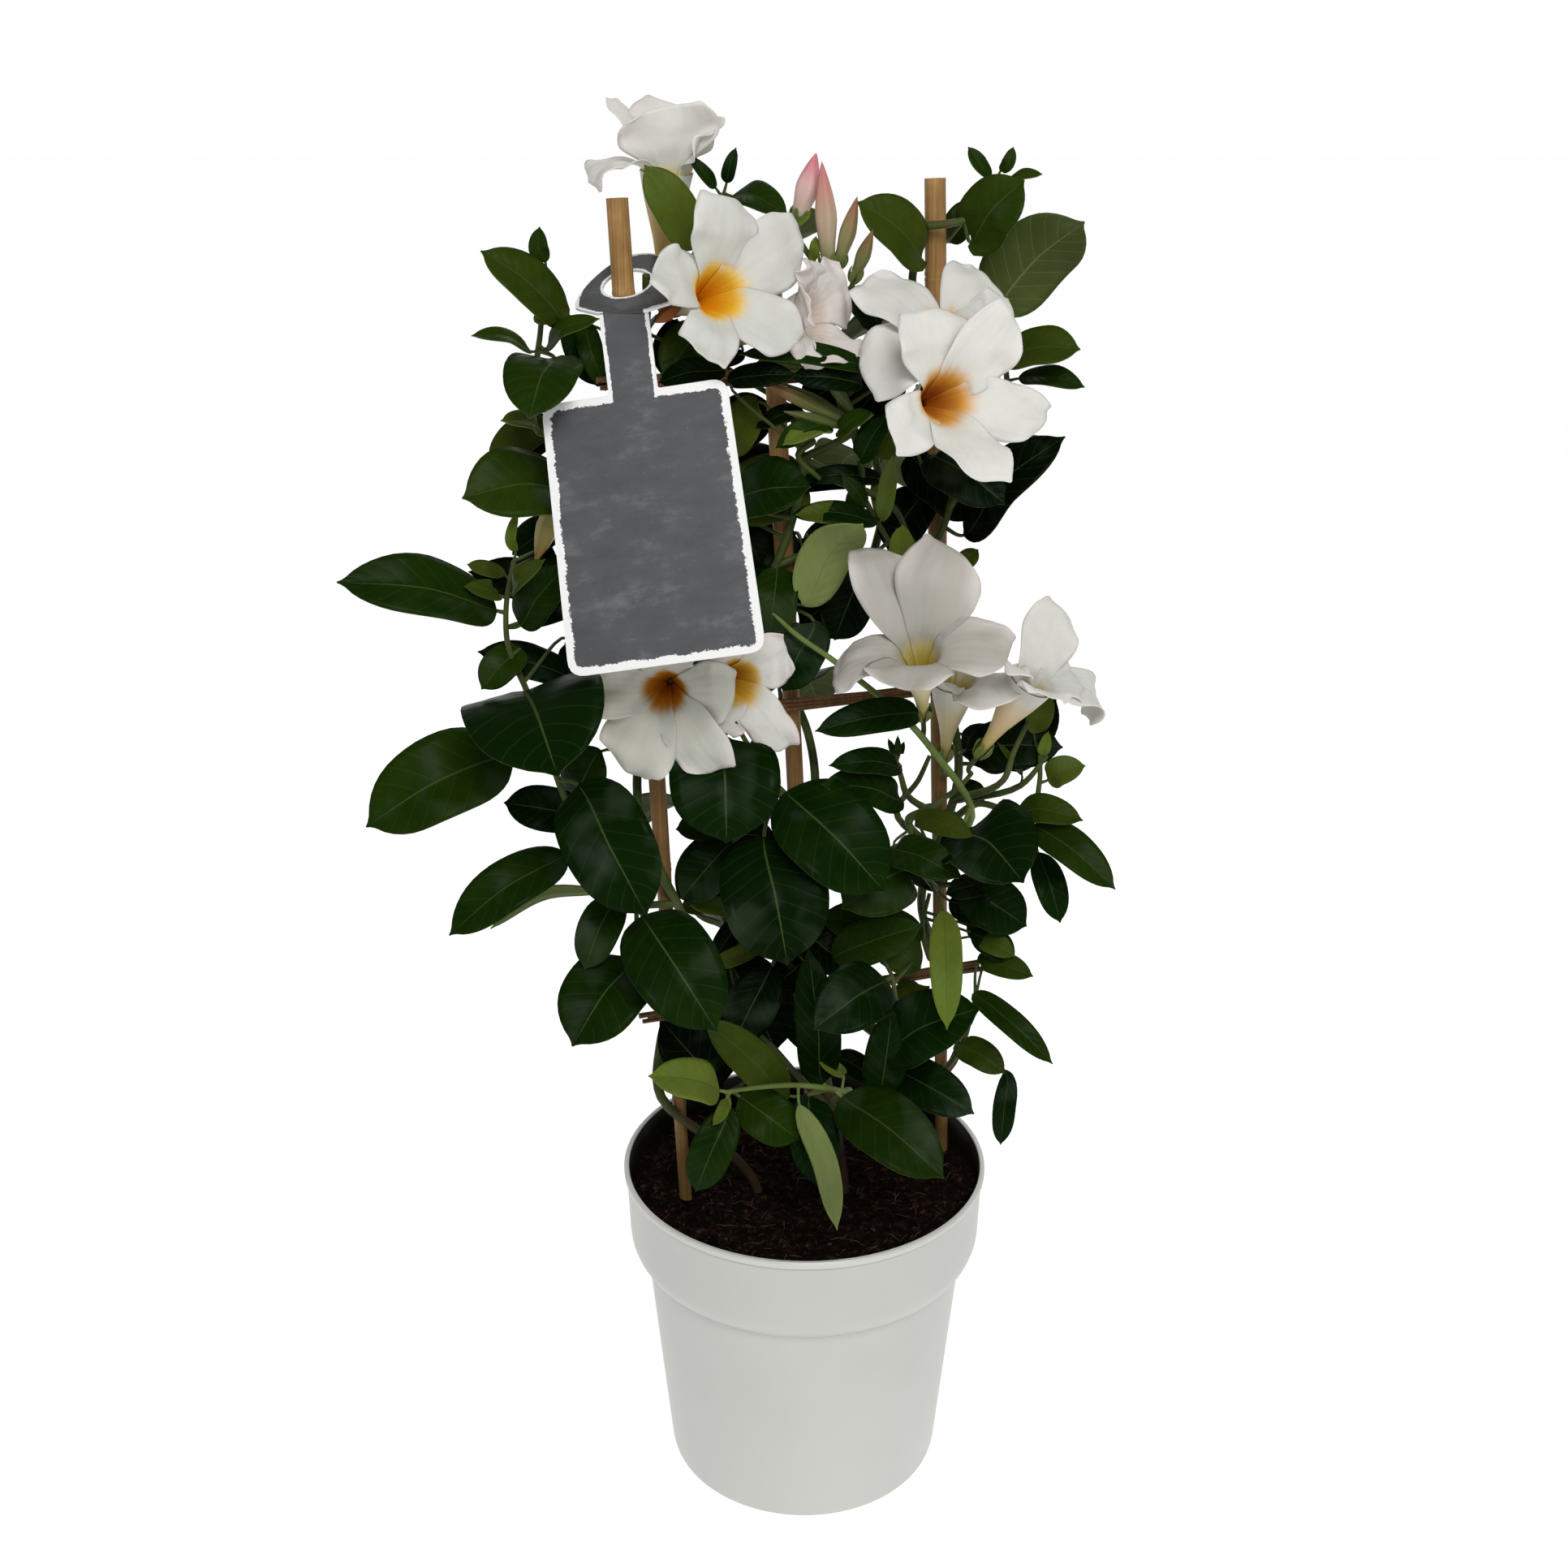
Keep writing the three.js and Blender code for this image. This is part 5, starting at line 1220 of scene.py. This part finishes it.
            (34, -20, 204, 38, -24, 249, 6, 65, 0.45), (-40, -4, 257, -17, -8, 271, 8, 50, 0.68),
            (-12, 20, 284, -34, 16, 265, 24, 50, 0.03), (7, 6, 211, -12, 2, 243, 20, 50, 0.05),
            (14, 0, 210, 33, -6, 201, 12, 45, 0.1), (21, -16, 518, -7, -22, 522, 10, 60, 0.06),
            (-31, -18, 519, -5, -24, 523, 10, 60, 0.05), (-6, 6, 576, 1, 6, 582, 4, 60),
            (2, 6, 563, 3, 4, 573, 4, 60), (15, 0, 498, 26, -12, 506, 7, 50),
            (37, 14, 518, 17, 10, 499, 19, 55, 0.04), (-32, 8, 462, -19, 4, 441, 17, 55, 0.06),
            (23, 4, 475, 17, -2, 464, 7, 60), (28, 4, 477, 32, 0, 460, 7, 60),
            (17, -30, 217, 6, -40, 229, 6, 50), (-31, -60, 224, -40, -66, 213, 5, 50),
        ],
        "paleShoots": [0],
        "blooms": ["bloom_half_open", "bloom_under_tag", "bloom_beside"],
        "buds": ["bud_top_left", "bud_top_middle", "bud_top_right", "bud_top_low"],
    },
    "vine_right": {
        "main": [[40, 14, 108], [41, 14, soil["top"]], [52, 16, 172], *windRound("right", 200, 576, 1)],
        "shoots": [
            [[50, 16, 576], [60, 14, 578], [72, 17, 584], [75, 18, 593]],
            [[64, 17, 300], [73, 0, 329], [53, -20, 367], [39, -24, 384], [12, -22, 406], [-7, -18, 419],
             [-20, -10, 431]],
            [[64, 17, 316], [76, 8, 332], [88, -4, 333], [97, -10, 332], [101, -6, 347], [101, -3, 359]],
            [[68, 17, 177], [73, 8, 210], [77, -6, 242]],
            [[60, 17, 288], [58, -3, 296], [52, -12, 306], [46, -15, 318], [45, -14, 331]],
            [[58, 18, 462], [70, 14, 480], [82, 16, 500], [82, 18, 518], [76, 20, 538]],
            # bare stalks between the flowers on the right
            [[31, 8, 314], [40, 4, 330], [49, 2, 345], [54, 4, 356]],
            [[32, 4, 314], [45, 0, 328], [54, -2, 334], [67, 0, 343], [72, 0, 349]],
            [[46, -2, 331], [44, -5, 341], [41, -6, 350], [38, -6, 360]],
            [[80, -6, 332], [85, -8, 349], [89, -8, 362], [95, -6, 375]],
            [[86, -4, 333], [93, -4, 345], [104, -4, 359]],
            [[60, 18, 235], [58, 14, 253], [54, 16, 267], [57, 18, 284]],
            [[44, 29, 545], [40, 25, 532], [37, 21, 520], [35, 16, 510]],
        ],
        "leaves": [
            # top of the right cane
            (46, 16, 563, 19, 2, 586, 21, 55, 0.58), (57, 32, 569, 69, 36, 584, 12, 60, 0.45),
            (71, 18, 593, 63, 16, 606, 6, 60, 0.42), (77, 18, 593, 81, 18, 606, 5, 60, 0.45),
            (79, 18, 593, 92, 12, 596, 5, 50, 0.5), (65, 16, 570, 84, 4, 594, 23, 55, 0.5),
            # upper shoot on the right
            (77, 24, 542, 110, 14, 578, 32, -60, 0.4), (81, 14, 525, 109, 0, 530, 19, 50, 0.56),
            (87, 18, 516, 113, 8, 514, 10, 45, 0.4), (52, 8, 486, 80, -12, 470, 24, 60, 0.06),
            (67, 20, 450, 106, 8, 494, 23, 38, 0.02), (87, 22, 483, 100, 20, 491, 8, 60),
            (65, 24, 434, 74, 24, 443, 8, 60), (44, 8, 442, 37, 2, 457, 8, 60),
            # runner that crosses the rack to the left
            (46, -26, 385, 3, -42, 383, 14, 55, 0.3), (40, -16, 358, 9, -36, 366, 11, 50, 0.3),
            (41, -14, 342, 6, -34, 357, 16, 50, 0.32),
            # shoot that leans out on the right
            (71, 14, 355, 112, 4, 360, 21, 55, 0.1), (99, 4, 366, 104, 4, 386, 10, 60, 0.7),
            (88, -4, 334, 118, -22, 336, 13, 45, 0.52), (96, -8, 329, 130.7, -38, 311, 16, 45, 0.42),
            (103, 0, 312, 112, -16, 285, 13, 60, 0.3), (68, -14, 329, 89, -56, 322, 37, 45, 0.2),
            # main stem at half height
            (44, -14, 310, 15, -40, 303, 29, 50, 0.42), (37, -16, 321, 64, -40, 317, 17, 50),
            (47, -8, 331, 71, -26, 330, 11, 45), (69, 8, 293, 100, 2, 275, 23, 60),
            (59, -24, 295, 59, -62, 257, 13, 66, 0.84), (77, 4, 269, 94, -8, 265, 10, 50),
            (79, 4, 256, 102, -12, 257, 11, 45),
            # low shoot on the right
            (76, -8, 246, 109, -36, 226, 11, 50, 0.4), (71, 0, 217, 91, -16, 210, 13, 50),
            (94, 8, 198, 93, 2, 161, 10, 60, 0.2),
            # smaller and half hidden ones between these, many with low tones as painted shade
            (50, 24, 471, 35, 18, 443, 20, 55, 0.02), (82, 10, 293, 63, 4, 290, 11, 50, 0.15),
            (63, 14, 292, 38, 8, 305, 16, 50, 0), (39, 0, 316, 69, -6, 303, 9, 50, 0.2),
            (52, 34, 317, 75, 30, 308, 13, 50, 0.3), (69, 26, 334, 81, 22, 328, 10, 50, 0.3),
            (88, 30, 344, 111, 24, 377, 24, 55, 0.08), (71, 36, 355, 93, 30, 340, 19, 50, 0.08),
            (95, 6, 346, 83, 2, 363, 3, 60, 0.6), (65, 6, 286, 92, 0, 279, 17, 50, 0.12),
            (74, 12, 271, 86, 8, 265, 10, 50, 0.5), (75, 4, 271, 95, -2, 261, 13, 50, 0.2),
            (83, 4, 256, 103, 0, 252, 8, 50, 0.3), (45, 30, 483, 72, 24, 456, 25, 55, 0.02),
            (30, 20, 537, 16, 16, 552, 14, 55, 0.1), (39, -6, 357, 35, -8, 368, 3, 65, 0.4),
            (39, -6, 357, 39, -10, 370, 3, 65, 0.45), (39, -6, 357, 42, -6, 366, 3, 65, 0.4),
            (101, -4, 356, 104, -4, 370, 5, 60, 0.8), (101, -6, 348, 119, -14, 358, 12, 50, 0.68),
        ],
        "paleShoots": [1],
        "blooms": ["bloom_right_front", "bloom_right_behind", "bloom_centre", "bloom_centre_behind",
                   "bloom_right"],
        "buds": [],
    },
}

backLeaves = {
    "main": [(12, 22, 108), (12, 22, soil["top"]), (8, 28, 180), (-16, 26, 230), (-40, 8, 290),
             (-26, 16, 350), (6, 26, 400), (32, 33, 450), (22, 30, 500), (-14, 20, 540), (-30, 16, 560)],
    "pairs": 8, "hanging": 6, "first": 0.26, "gap": 0.1, "stalk": 10, "length": 56, "width": 30,
    "drop": -0.42, "rise": 0.3, "turns": (72, 22), "slants": (-25, -50),
}


def backVine():
    # leaves in pairs along a stem that weaves behind the canes
    stem = smoothPath(backLeaves["main"], 20)
    leaves = []
    for pair in range(backLeaves["pairs"]):
        node = stem[round((backLeaves["first"] + backLeaves["gap"] * pair) * (len(stem) - 1))]
        for side in (-1, 1):
            heading = math.radians(90 + side * backLeaves["turns"][pair % 2] + 14 * math.sin(5 * pair))
            out = Vector((math.cos(heading), math.sin(heading), 0))
            length = backLeaves["length"] + 10 * math.sin(3 * pair + side)
            base = node + out * backLeaves["stalk"]
            tip = base + out * length * 0.86
            tip.z += backLeaves["drop" if pair < backLeaves["hanging"] else "rise"] * length
            width = backLeaves["width"] + 3 * math.sin(pair)
            leaves.append((*base, *tip, width, backLeaves["slants"][pair % 2]))
    return {"main": backLeaves["main"], "shoots": [], "leaves": leaves, "blooms": [], "buds": []}


vines["vine_back"] = backVine()


def clearOfCanes(start, end):
    for share in (0.15, 0.3, 0.45, 0.6, 0.75, 0.9):
        point = start.lerp(end, share)
        for side in rack["canes"]:
            axis = canePoint(side, point.z)
            if math.hypot(point.x - axis.x, point.y - axis.y) < caneRadiusAt(side, point.z) + 2:
                return False
    return True


def nearestPoint(paths, target):
    # the nearest point of the paths that is reached without passing through a cane
    points = sorted((point for path in paths for point in path), key=lambda point: (point - target).length)
    return next(point for point in points if clearOfCanes(point, target))


def makeLeafPattern():
    # a flat blade from -1 to 1 across and along, cut to its outline row by row
    pattern = flatPattern("leafPattern", vine["across"], vine["along"])
    for vertex in pattern.data.vertices:  # rows closer together towards both ends
        vertex.co.y = mix(vertex.co.y, math.sin(vertex.co.y * math.pi / 2), 0.7)
    for row in sorted({round(vertex.co.y, 5) for vertex in pattern.data.vertices}):
        bpy.ops.object.mode_set(mode="EDIT")
        bpy.ops.mesh.select_all(action="DESELECT")
        bpy.ops.object.mode_set(mode="OBJECT")
        for vertex in pattern.data.vertices:
            vertex.select = abs(vertex.co.y - row) < 1e-4
        bpy.ops.object.mode_set(mode="EDIT")
        width = curveThrough(vine["outline"], (row + 1) / 2)
        bpy.ops.transform.resize(value=(max(width, 0.012), 1, 1), center_override=(0, row, 0))
    bpy.ops.object.mode_set(mode="OBJECT")
    pattern.data.attributes.new("tintAndShade", "FLOAT", "POINT")
    return pattern


def leafTint(height, width):
    # small leaves are younger and paler; high leaves are paler too, partly as younger growth and partly as
    # painted backlight
    tintAndShade = vine["tintAndShade"] + vine["tintSpread"] * random.random()
    if width < vine["smallLeaf"]:
        tintAndShade += vine["smallTint"] * (vine["smallLeaf"] - width)
    return tintAndShade + (vine["youthAndBacklight"] if height > vine["highLeaf"] else 0)


def blendAlong(path, share):
    # the point at a share of the path, and the heading there
    index = share * (len(path) - 1)
    low = min(int(index), len(path) - 2)
    return path[low].lerp(path[low + 1], index - low), (path[low + 1] - path[low]).normalized()


def makeLeaf(pattern, row, stemPoint):
    base, tip, width = Vector(row[:3]), Vector(row[3:6]), row[6] * vine["fullness"]
    slant, tone, steps = math.radians(row[7]), row[8:], vine["steps"]
    reach = tip - base
    length = reach.length
    facing = Vector((0, -math.sin(slant), math.cos(slant)))
    rise = (facing - reach * facing.dot(reach) / length ** 2).normalized()
    middle = base.lerp(tip, 0.5) + rise * vine["arch"] * length
    if (stemPoint - base).length < vine["shortestPetiole"]:
        base = stemPoint + reach * vine["shortestPetiole"] / length
    path = smoothPath([stemPoint, base, middle, tip], steps)
    wave, lean, waviness = random.uniform(0, 6), random.uniform(-0.25, 0.25), random.uniform(0.3, 1.0)
    tintAndShade = leafTint(base.z, width)  # drawn even where the row has its own tone
    half = width / 2
    piece = copyMesh(pattern, "leaf")
    for vertex, mark in zip(piece.data.vertices, piece.data.attributes["tintAndShade"].data):
        across, along = vertex.co.x, (vertex.co.y + 1) / 2
        centre, heading = blendAlong(path[steps:], along)
        normal = (facing - heading * facing.dot(heading)).normalized()
        outline = curveThrough(vine["outline"], along)
        lift = vine["fold"] * half * (abs(across) - vine["crown"] * across * across / max(0.3, outline))
        lift += lean * across * half * vine["lean"]
        lift += waviness * vine["waveAcross"] * width * across * abs(across) * math.sin(9 * along + wave)
        lift += waviness * vine["waveEdge"] * width * abs(across) * math.sin(6.5 * along + 2 * wave)
        vertex.co = (centre + heading.cross(normal) * across * half + normal * lift) * 0.001
        mark.value = tone[0] if tone else tintAndShade
    return piece, path[:steps + 1:4]


def makeSepals(pattern, foot, direction, radius, length):
    pieces = []
    turn = up.rotation_difference(direction).to_matrix()
    for i in range(vine["sepals"]):
        angle = 2 * math.pi * i / vine["sepals"] + 0.4
        out = turn @ Vector((math.cos(angle), math.sin(angle), 0))
        side = direction.cross(out).normalized()
        piece = copyMesh(pattern, "sepal")
        for vertex, mark in zip(piece.data.vertices, piece.data.attributes["tintAndShade"].data):
            along, across = (vertex.co.y + 1) / 2, vertex.co.x
            spread = radius * (0.55 + 0.6 * math.sin(1.9 * along)) + 0.5 * across * across
            centre = foot + direction * (length * along - 1.5) + out * spread
            vertex.co = (centre - side * across * radius * vine["sepalWidth"]) * 0.001
            mark.value = vine["sepalTint"]
        pieces.append(piece)
    return pieces


def tapered(points, start, end):
    count = len(points) - 1
    return [mix(start, end, i / count) for i in range(count + 1)]


def stalkFeet(plant):
    # foot and direction of each flower and bud, its sepals' radius and length, and its stalk's bow
    feet = []
    for name in plant["blooms"]:
        direction = Vector(blooms[name]["axis"]).normalized()
        foot = Vector(blooms[name]["mouth"]) - direction * flower["tubeLength"]
        feet.append((foot, direction, *vine["bloomFoot"]))
    extra, length, bow = vine["budFoot"]
    for name in plant["buds"]:
        foot, tip = Vector(buds[name]["foot"]), Vector(buds[name]["tip"])
        feet.append((foot, (tip - foot).normalized(), buds[name]["radius"] * 0.5 + extra, length, bow))
    return feet


def makeStems(name, tubes, material, *nodes):
    stems = tubesAs(name, tubes)
    coverWith(stems, material)
    finishPiece(stems, "leaf", *nodes)


def makeVine(node, plant, pattern):
    trunk = smoothPath(plant["main"], vine["stemSteps"])
    lines = [trunk]
    paleTubes, palePoints = [], []
    tubes = [(trunk, tapered(trunk, vine["stemRadius"] * 1.05, vine["stemRadius"] * 0.75))]
    for i, shoot in enumerate(plant["shoots"]):
        line = smoothPath([nearestPoint([trunk], Vector(shoot[0]))] + shoot[1:], vine["stemSteps"])
        lines.append(line)
        tube = (line, tapered(line, vine["shootRadius"] * 1.1, vine["shootRadius"] * 0.6))
        if i in plant.get("paleShoots", []):
            paleTubes.append(tube)
            palePoints += line
        else:
            tubes.append(tube)
    lines = [[point for point in line if point.z > vine["lowestLeaf"]] for line in lines]
    blades = []
    for row in plant["leaves"]:
        stemPoint = nearestPoint(lines, Vector(row[:3]))
        piece, stalk = makeLeaf(pattern, row, stemPoint)
        blades.append(piece)
        radius = vine["petioleRadius"] * min(1.0, 0.55 + row[6] / 60)
        onPale = any((point - stemPoint).length < 0.01 for point in palePoints)
        (paleTubes if onPale else tubes).append((stalk, tapered(stalk, radius * 1.15, radius * 0.8)))
    for foot, direction, radius, length, bow in stalkFeet(plant):
        bend = foot - direction * bow
        stalk = smoothPath([nearestPoint(lines, bend), bend, foot + direction * 0.5], vine["stemSteps"])
        tubes.append((stalk, [vine["pedicelRadius"]] * (len(stalk) - 1) + [radius * 0.75]))
        blades += makeSepals(pattern, foot, direction, radius, length)
    leaves = joinAs(node + "Leaves", blades)
    bpy.ops.object.shade_smooth()
    coverWith(leaves, leafTopMaterial, leafUnderMaterial)
    applyModifier(leaves, "SOLIDIFY", thickness=0.001 * vine["bladeThickness"], offset=-1, use_rim=True,
                  material_offset=1, material_offset_rim=1)
    finishPiece(leaves, "leaf", node)
    makeStems(node + "Stems", tubes, stemMaterial, node)
    if paleTubes:
        makeStems(node + "PaleStems", paleTubes, paleStemMaterial)


leafPattern = makeLeafPattern()
for node, plant in vines.items():
    makeVine(node, plant, leafPattern)
    print(node, "ready")
bpy.data.objects.remove(leafPattern)


stage = {
    "floor": 80.0, "floorDrop": 0.0005, "floorTones": [(0.3, (0.24, 0.24, 0.24)), (0.7, (0.26, 0.26, 0.26))],
    "floorGlow": [(0.02, (0.92, 0.92, 0.92)), (0.45, (0.62, 0.62, 0.62))],  # behind, then beside
    "besideFrom": 0.75, "besideSlope": 0.5,
    "sky": [(0.075, (1.05, 1.05, 1.05)), (0.2, (0.36, 0.36, 0.36))],  # a pale band at the horizon
    "skyShare": [(0.1, (0.62, 0.62, 0.62)), (0.5, (1, 1, 1))],  # less light from the front and the sides
    "lights": {  # place, target, size and power
        "keyLight": ((0.3, -1.6, 1.7), (0, 0, 0.3), 0.9, 27.0),
        "fillLight": ((-1.3, -1.0, 1.2), (0, 0, 0.3), 1.0, 0.8),
        "backLight": ((0.3, 1.4, 1.6), (0, 0, 0.4), 1.0, 6.0),
    },
    "camera": (-0.00957, -0.7251, 0.6146), "pitch": 0.3568, "sensor": 36, "focalShare": 2183.9 / 1932,
}


def makeFloor():
    bpy.ops.mesh.primitive_plane_add(size=stage["floor"], location=(0, 0, -stage["floorDrop"]))
    floor = bpy.context.object
    floor.name = "floor"
    nodes = Nodes("floorWhite")
    nodes.colour(nodes.ramp(nodes.noise(3, 2), stage["floorTones"]))
    nodes.surface(0.9, 0.0)
    nodes.shader.inputs["Emission Color"].default_value = (1, 1, 1, 1)
    # the floor beside the plant glows less than the floor behind it
    x, y = nodes.axes()[:2]
    beside = nodes.minus(nodes.size(x), nodes.times(nodes.plus(y, stage["besideFrom"]), stage["besideSlope"]))
    nodes.join(nodes.ramp(beside, stage["floorGlow"]), nodes.shader.inputs["Emission Strength"])
    coverWith(floor, nodes.block)


def makeSky():
    sky = Nodes("studio", bpy.data.worlds, "Background")
    depth, height = sky.axes(sky.add("TexCoord").outputs["Generated"])[1:]
    sky.join(sky.ramp(height, stage["sky"]), sky.shader.inputs["Color"])
    sky.join(sky.ramp(depth, stage["skyShare"]), sky.shader.inputs["Strength"])
    bpy.context.scene.world = sky.block
    bpy.context.scene.view_settings.view_transform = "Standard"


def makeLight(name, place, target, size, power):
    bpy.ops.object.light_add(type="AREA", location=place)
    light = bpy.context.object
    light.name = name
    light.data.shape = "SQUARE"
    light.data.size = size
    light.data.energy = power
    light.rotation_euler = (Vector(target) - Vector(place)).to_track_quat("-Z", "Y").to_euler()


def makeCamera():
    data = bpy.data.cameras.new("camera")
    data.sensor_width = stage["sensor"]
    data.lens = stage["sensor"] * stage["focalShare"]
    camera = newPiece("camera", data)
    camera.location = stage["camera"]
    camera.rotation_euler = (math.pi / 2 - stage["pitch"], 0, 0)
    bpy.context.scene.camera = camera


makeFloor()
makeSky()
for name, settings in stage["lights"].items():
    makeLight(name, *settings)
makeCamera()
print("stage ready")
